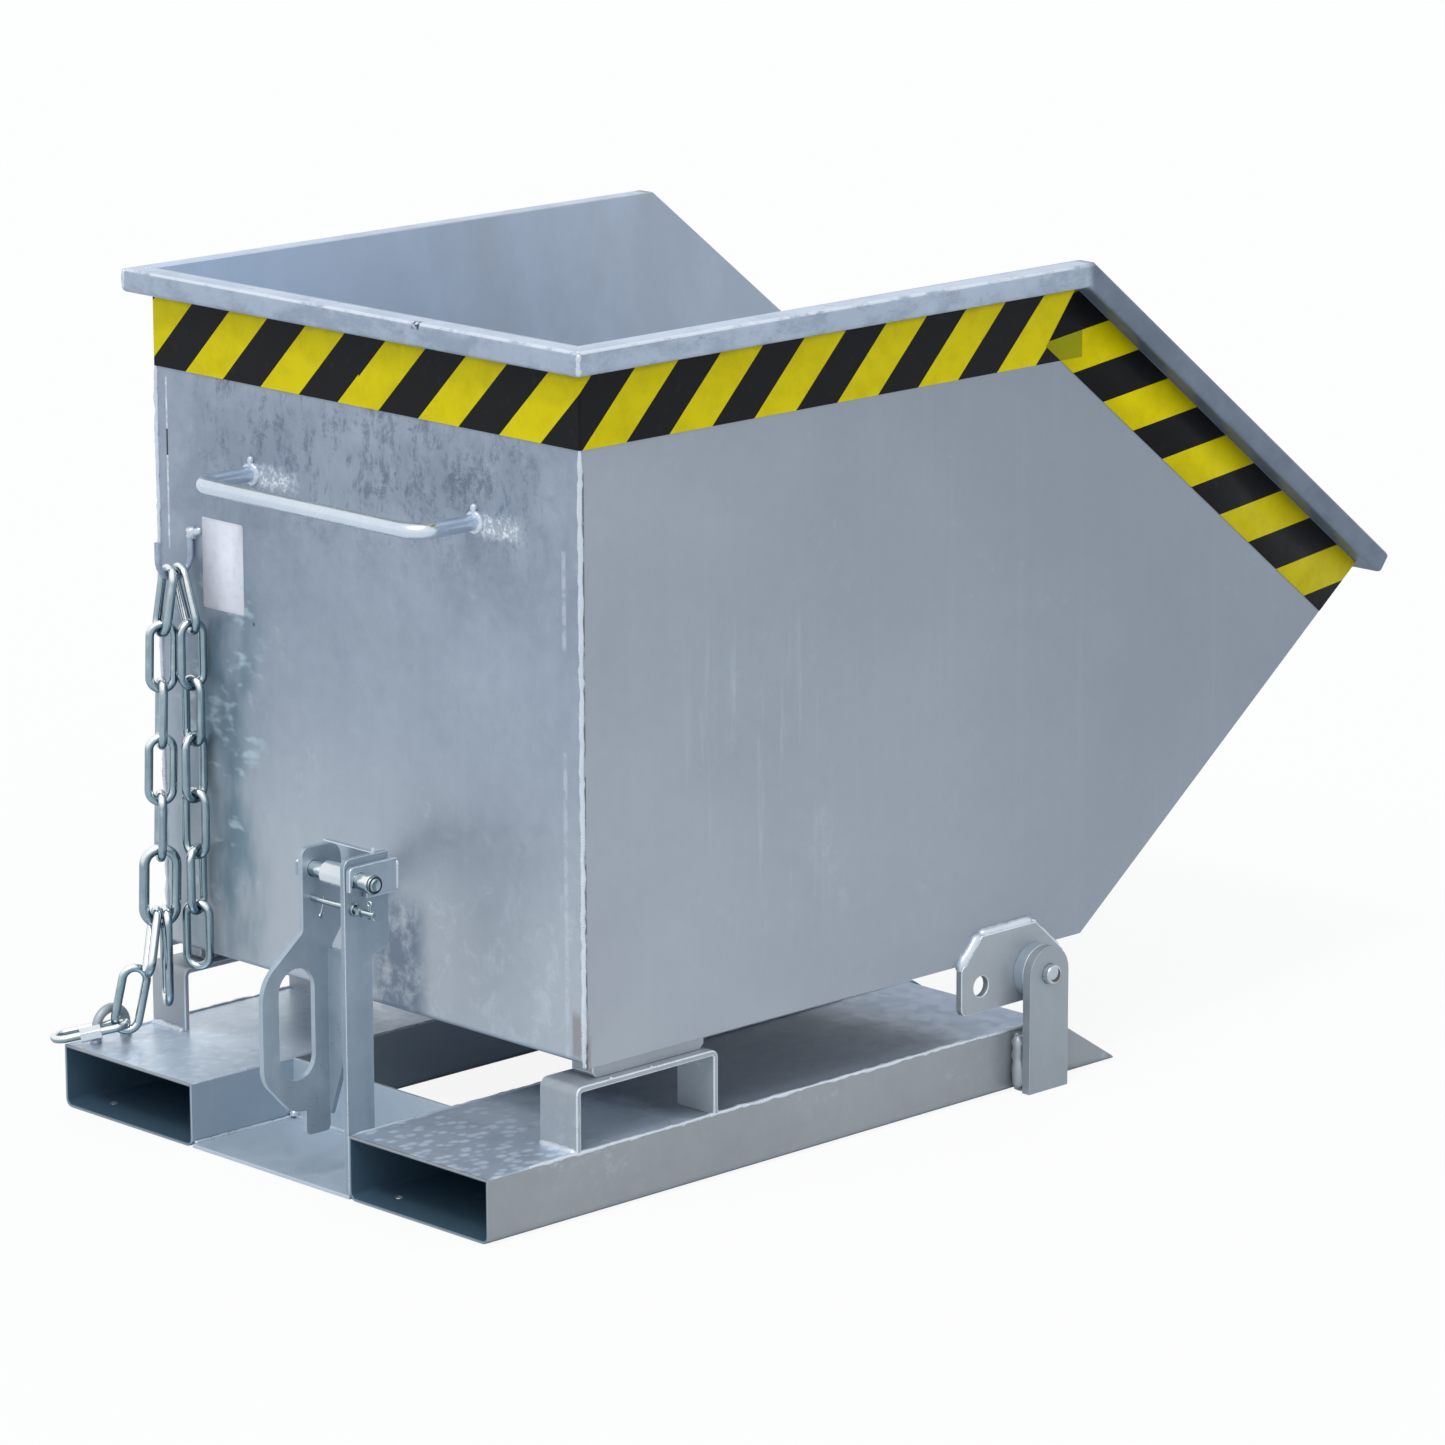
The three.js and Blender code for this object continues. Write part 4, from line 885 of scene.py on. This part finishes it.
# Start, end, radius, body, roughness, and a finish of its own; a name ending in Each is for both sides
welds = {
    "cornerWeldEach": ((0.0674, 0.3150, 0.152), (0.0674, 0.3150, 0.757), 0.0025, "bucket", 1.7),
    "bracketFootRearEach": ((0.0488, 0.272, 0.0668), (0.0488, 0.322, 0.0668), 0.0044, "frame", 1.2),
    "bracketFootFrontEach": ((0.2418, 0.272, 0.0668), (0.2418, 0.321, 0.0668), 0.0038, "frame", 1.2),
    "pocketSeamEach": ((-0.010, 0.3212, 0.0660), (0.700, 0.3212, 0.0660), 0.0020, "frame", 2.2),
    "pocketInnerSeamEach": ((-0.060, 0.1215, 0.0660), (0.620, 0.1215, 0.0660), 0.0014, "frame", 1.3),
    "spacerWeldEach": ((0.6655, 0.3305, 0.003), (0.6655, 0.3305, 0.061), 0.0068, "frame", 1.3, plateFinish),
    "earWeldTopEach": ((0.6185, 0.3180, 0.1755), (0.6965, 0.3180, 0.1755), 0.0052, "bucket", 0.8),
    "earWeldRearEach": ((0.5880, 0.3185, 0.1430), (0.6180, 0.3185, 0.1755), 0.0060, "bucket", 0.8),
    "earWeldFrontEach": ((0.6975, 0.3172, 0.1750), (0.7385, 0.3172, 0.1385), 0.0032, "bucket", 0.9),
    "uprightFootWeld": ((-0.065, -0.1135, 0.0050), (-0.033, -0.1135, 0.0050), 0.0028, "frame", 1.1),
    "uprightPocketWeld": ((-0.0315, -0.1188, 0.006), (-0.0315, -0.1188, 0.0640), 0.0020, "frame", 1.0),
    "crossFootWeld": ((0.0665, -0.118, 0.0050), (0.0665, 0.118, 0.0050), 0.0022, "frame", 1.0),
    "platePocketWeldEach": ((-0.064, 0.1190, 0.0048), (0.064, 0.1190, 0.0048), 0.0019, "frame", 1.0),
    "catchWebWeld": ((-0.0040, -0.1262, 0.305), (-0.0040, -0.1262, 0.3345), 0.0018, "bucket", 1.0),
    "catchWallWeld": ((0.0660, -0.0210, 0.263), (0.0660, -0.0210, 0.299), 0.0028, "bucket", 1.0),
    "eyeFootWeldRear": ((-0.0455, 0.3050, 0.0668), (-0.0335, 0.3050, 0.0668), 0.0048, "frame", 0.6),
    "eyeFootWeldFront": ((-0.0065, 0.3050, 0.0668), (0.0055, 0.3050, 0.0668), 0.0048, "frame", 0.6),
    "hookLegWeld": ((0.0635, 0.2595, 0.5860), (0.0650, 0.2625, 0.5975), 0.0056, "bucket", 1.5),
    "hookLegRun": ((0.0650, 0.2600, 0.5900), (0.0662, 0.2480, 0.5960), 0.0036, "bucket", 1.6),
    "rimMitreEach": ((0.0470, 0.3362, 0.8552), (0.0664, 0.3168, 0.8560), 0.0019, "bucket", 2.0),
    "rimCornerEach": ((0.0466, 0.3366, 0.8340), (0.0466, 0.3366, 0.8548), 0.0027, "bucket", 1.5),
    "rimButtRight": ((0.3240, -0.3370, 0.8555), (0.3240, -0.3180, 0.8560), 0.0014, "bucket", 2.0),
    "bracketDropEach": ((0.0940, 0.3225, 0.1328), (0.0975, 0.3225, 0.1330), 0.0022, "frame", 1.6),
    "bracketSpotEach": ((0.1500, 0.3225, 0.1328), (0.1520, 0.3225, 0.1330), 0.0017, "frame", 1.6),
    "shoeWeldEach": ((0.1000, 0.3120, 0.1490), (0.2300, 0.3120, 0.1490), 0.0018, "bucket", 0.9),
    "latchPlateLump": ((0.0640, 0.114, 0.0055), (0.0655, 0.118, 0.0120), 0.0050, "frame", 1.0),
    "cornerDropEach": ((0.0685, 0.3140, 0.1500), (0.0700, 0.3152, 0.1500), 0.0030, "bucket", 0.8),
}
for name, (start, end, *bead) in welds.items():
    if not name.endswith("Each"):
        weldBead(name, start, end, *bead)
        continue
    for side, word in sides:
        flip = [(x, y * side, z) for x, y, z in (start, end)]
        weldBead(name.removesuffix("Each") + word, *flip, *bead)
handleWeld = {"wall": 0.0662, "radius": 0.0088, "thick": 0.0030, "lump": 0.0034,
              "lumpFrom": (0.0655, 0.001, 0.010), "lumpTo": (0.0650, -0.002, 0.018)}
for side, word in sides:
    foot = Vector((0, side * handle["half"], handle["height"]))
    weldRing("handleWeld" + word, foot + Vector((handleWeld["wall"], 0, 0)), (1, 0, 0),
             handleWeld["radius"], handleWeld["thick"], "bucket")
    weldBead("handleLump" + word, foot + Vector(handleWeld["lumpFrom"]),
             foot + Vector(handleWeld["lumpTo"]), handleWeld["lump"], "bucket", 1.0)
print("welds laid")


# Warning tapes: a band round the rear and sides under the rim, and one down each sloping edge
tapeLook = {"yellow": (220, 204, 0), "black": (24, 24, 26), "doubled": (150, 152, 20),
            "grimy": (134, 124, 6), "faded": (204, 188, 2), "sooty": (40, 39, 41),
            "grime": (0.8215, 0.8300), "roughness": 0.42, "specular": 0.10}
wallTape = {
    "rear": 0.067, "half": 0.316, "end": 0.7662, "low": 0.757, "high": 0.8316,
    "thickness": 0.0003, "corner": 0.0022, "clear": 0.0009, "pitchRear": 0.1168, "pitchSide": 0.1141,
    "start": 0.0071, "level": 0.795, "endRadius": 0.006,
}
slopeTape = {
    "knee": (0.74751, 0.83738), "start": 0.012, "low": 0.0712, "high": 0.0008, "length": 0.60,
    "panelFoot": (0.774, 0.1468), "panel": 37.4, "clear": 0.0001, "pitch": 0.1168,
    "stripe": 0.2753, "stripeDepth": 0.035,
}


def tapeFinish(name, phaseOf, doubledOf=None):
    finish = Finish(name, Metallic=0.0, Specular_IOR_Level=tapeLook["specular"])
    x, y, z = finish.axes()
    wobble = (finish.noise(30, 2) - 0.5) * 0.004
    yellow = (phaseOf(x, y, z) + wobble).part() < 0.5
    worn = finish.noise(28, 5, 0.7)
    sunny = finish.tint(linear(*tapeLook["yellow"]), worn.rise(0.35, 0.75), tapeLook["faded"])
    sooty = finish.tint(linear(*tapeLook["black"]), finish.noise(70, 4, 0.7).rise(0.55, 0.8),
                        tapeLook["sooty"])
    if doubledOf:
        sunny = finish.tint(sunny, doubledOf(x, z), tapeLook["doubled"])
    else:  # painted shadow under the rim
        grime = (z + (worn - 0.5) * 0.006).rise(*tapeLook["grime"])
        sunny = finish.tint(sunny, grime * 0.62, tapeLook["grimy"])
    finish.feed("Base Color", finish.mix(yellow, sooty, sunny))
    finish.feed("Roughness", tapeLook["roughness"] + (worn - 0.5) * 0.25)
    finish.bump(finish.noise(45, 4, 0.6) + worn * 0.6, 0.12, 0.0006)
    return finish.material


def wallPhase(x, y, z):
    t = wallTape
    return (y * -1 - z + t["level"] - t["start"]) / t["pitchRear"] \
        + (x - t["rear"]) * (y * -1).sign() / t["pitchSide"]


def wrapTape():
    t = wallTape
    freshStart()
    bpy.ops.mesh.primitive_cube_add(
        size=1, location=((t["rear"] + t["end"]) / 2, 0, (t["low"] + t["high"]) / 2),
        scale=(t["end"] - t["rear"], 2 * t["half"], t["high"] - t["low"]))
    tape = settle(bpy.context.object, "tapeBand")
    openMesh()
    pick(tape, lambda f: abs(f.normal.z) > 0.9 or f.normal.x > 0.9)
    bpy.ops.mesh.delete(type="ONLY_FACE")
    for side in (-1, 1):  # it stands off the folded corner, and then turns round it
        pick(tape, lambda v: v.co.x < 0.1 and v.co.y * side > 0, "verts")
        bpy.ops.transform.translate(value=(-t["clear"], side * t["clear"], 0))
    pick(tape, lambda e: abs(e.verts[0].co.z - e.verts[1].co.z) > 0.01 and middle(e).x < 0.1, "edges")
    bpy.ops.mesh.bevel(offset=t["corner"], segments=5, affect="EDGES")
    slope = math.radians(rim["slope"])  # the end is trimmed under the sloping rim
    bpy.ops.mesh.select_all(action="SELECT")
    bpy.ops.mesh.bisect(
        plane_co=(slopeTape["knee"][0], 0, slopeTape["knee"][1] - slopeTape["high"]),
        plane_no=(math.sin(slope), 0, math.cos(slope)), clear_outer=True)
    pick(tape, lambda v: v.co.x > t["end"] - 0.0001 and v.co.z < t["low"] + 0.0001, "verts")
    bpy.ops.mesh.bevel(offset=t["endRadius"], segments=5, affect="VERTICES")
    closeMesh()
    addModifier(tape, "SOLIDIFY", thickness=t["thickness"], offset=1.0)
    bpy.ops.object.shade_smooth_by_angle(angle=math.radians(35))
    finished(tape, "bucket", tapeFinish("tapeBandStripes", wallPhase), "galvanised_sheet")


def slopingTape(side, word):
    t = slopeTape
    slope, panel = math.radians(rim["slope"]), math.radians(t["panel"])
    down = Vector((math.cos(slope), 0, -math.sin(slope)))
    inward = Vector((-math.sin(slope), 0, -math.cos(slope)))
    length, width = t["length"], t["low"] - t["high"]
    off = wallTape["half"] + wallTape["thickness"] + t["clear"]
    start = Vector((t["knee"][0], side * off, t["knee"][1]))
    centre = start + down * (t["start"] + length / 2) + inward * (t["high"] + width / 2)
    freshStart()
    bpy.ops.mesh.primitive_plane_add(size=1, location=centre)
    tape = bpy.context.object
    tape.matrix_world = Matrix.Translation(centre) @ Matrix(
        (down * length, inward * width, down.cross(inward))).transposed().to_4x4()
    settle(tape, "tapeSlope" + word)
    openMesh()
    bpy.ops.mesh.bisect(plane_co=(t["panelFoot"][0], 0, t["panelFoot"][1]),
                        plane_no=(math.sin(panel), 0, -math.cos(panel)), clear_outer=True)
    pick(tape, lambda f: f.normal.y * side < 0)
    bpy.ops.mesh.flip_normals()
    closeMesh()
    addModifier(tape, "SOLIDIFY", thickness=wallTape["thickness"], offset=1.0)

    def phase(x, y, z):
        along = (x - t["knee"][0]) * down.x + (z - t["knee"][1]) * down.z
        depth = (x - t["knee"][0]) * inward.x + (z - t["knee"][1]) * inward.z
        return (along + (depth - t["stripeDepth"]) * -side - t["stripe"]) / t["pitch"]

    def doubled(x, z):
        return (x < wallTape["end"]) * (z > wallTape["low"]) * 0.9

    finished(tape, "bucket", tapeFinish(tape.name + "Stripes", phase, doubled), "galvanised_sheet")


label = {"rear": 0.067, "across": (0.1823, 0.2463), "up": (0.517, 0.6105), "thickness": 0.0002,
         "clear": 0.0001, "corner": 0.0015, "colour": (234, 237, 247), "worn": (198, 203, 216)}


def blankLabel():
    (y0, y1), (z0, z1) = label["across"], label["up"]
    y2, z2 = (y0 + y1) / 2, (z0 + z1) / 2
    freshStart()
    bpy.ops.mesh.primitive_plane_add(size=1, location=(label["rear"] - label["clear"], y2, z2),
                                     rotation=(0, -math.pi / 2, 0))
    sticker = bpy.context.object
    sticker.scale = (z1 - z0, y1 - y0, 1)
    settle(sticker, "blankLabel")
    openMesh()
    bpy.ops.mesh.bevel(offset=label["corner"], segments=3, affect="VERTICES")
    pick(sticker, lambda f: f.normal.x > 0)
    bpy.ops.mesh.flip_normals()
    closeMesh()
    addModifier(sticker, "SOLIDIFY", thickness=label["thickness"], offset=1.0)
    finish = Finish("labelPaper", Metallic=0.0, Specular_IOR_Level=0.3)
    x, y, z = finish.axes()
    edge = abs((y - y2) / (y1 - y0)).rise(0.44, 0.5) + abs((z - z2) / (z1 - z0)).rise(0.46, 0.5)
    worn = finish.noise(90, 5, 0.7)
    shade = worn.rise(0.45, 0.8) * 0.5 + edge * 0.35
    finish.feed("Base Color", finish.tint(linear(*label["colour"]), shade, label["worn"]))
    finish.feed("Roughness", 0.42 + (worn - 0.5) * 0.3)
    finish.bump(finish.noise(30, 3), 0.15, 0.0006)
    finished(sticker, "bucket", finish.material, "galvanised_sheet")


wrapTape()
for side, word in reversed(sides):
    slopingTape(side, word)
blankLabel()
print("tapes and label laid on")


studio = {"floor": 60.0, "under": 0.0005, "floorColour": 0.86, "floorGlow": 0.90, "sky": (0.90, 0.955, 1.0),
          "skyLevel": 0.70, "keyFrom": (-0.55, -0.25, 1.0),
          "lamps": {"keyLamp": (0.80, 50), "sparkLamp": (0.50, 7)}}  # strength, and spread in degrees


def layFloor():
    freshStart()
    bpy.ops.mesh.primitive_plane_add(size=studio["floor"], location=(0, 0, -studio["under"]))
    floor = bpy.context.object
    floor.name = "floor"
    finish = Finish("floorPaint", Roughness=0.9, Specular_IOR_Level=0.1)
    level = studio["floorColour"]
    finish.shader.inputs["Base Color"].default_value = (level, level, level, 1)
    glow = finish.tree.nodes.new("ShaderNodeEmission")
    glow.inputs["Color"].default_value = (1, 1, 1, 1)
    seen = finish.node("LightPath", out="Is Camera Ray") * studio["floorGlow"]
    blend = finish.node("MixShader", {}, {0: seen, 1: Value(finish, finish.shader.outputs[0]),
                                          2: Value(finish, glow.outputs[0])})
    output = next(n for n in finish.tree.nodes if n.type == "OUTPUT_MATERIAL")
    finish.tree.links.new(blend.socket, output.inputs["Surface"])
    floor.data.materials.append(finish.material)


def lightStudio():
    world = bpy.data.worlds.new("studio")
    scene.world = world
    world.use_nodes = True
    nodes, links = world.node_tree.nodes, world.node_tree.links
    nodes.clear()
    path = nodes.new("ShaderNodeLightPath")
    soft, white = nodes.new("ShaderNodeBackground"), nodes.new("ShaderNodeBackground")
    soft.inputs["Color"].default_value = (*studio["sky"], 1)
    soft.inputs["Strength"].default_value = studio["skyLevel"]
    white.inputs["Color"].default_value = (1, 1, 1, 1)
    white.inputs["Strength"].default_value = 1.0
    seen, through = nodes.new("ShaderNodeMath"), nodes.new("ShaderNodeMath")
    seen.operation = through.operation = "MAXIMUM"
    links.new(path.outputs["Is Camera Ray"], seen.inputs[0])
    links.new(path.outputs["Is Glossy Ray"], seen.inputs[1])
    links.new(seen.outputs[0], through.inputs[0])
    links.new(path.outputs["Is Transmission Ray"], through.inputs[1])
    either = nodes.new("ShaderNodeMixShader")
    links.new(through.outputs[0], either.inputs[0])
    links.new(soft.outputs[0], either.inputs[1])
    links.new(white.outputs[0], either.inputs[2])
    output = nodes.new("ShaderNodeOutputWorld")
    links.new(either.outputs[0], output.inputs["Surface"])
    for name, (strength, spread) in studio["lamps"].items():
        lamp = bpy.data.lights.new(name, "SUN")
        lamp.energy = strength
        lamp.angle = math.radians(spread)
        sun = bpy.data.objects.new(name, lamp)
        sun.rotation_mode = "QUATERNION"
        sun.rotation_quaternion = Vector(studio["keyFrom"]).to_track_quat("Z", "Y")
        scene.collection.objects.link(sun)


layFloor()
lightStudio()
print("floor and light set")
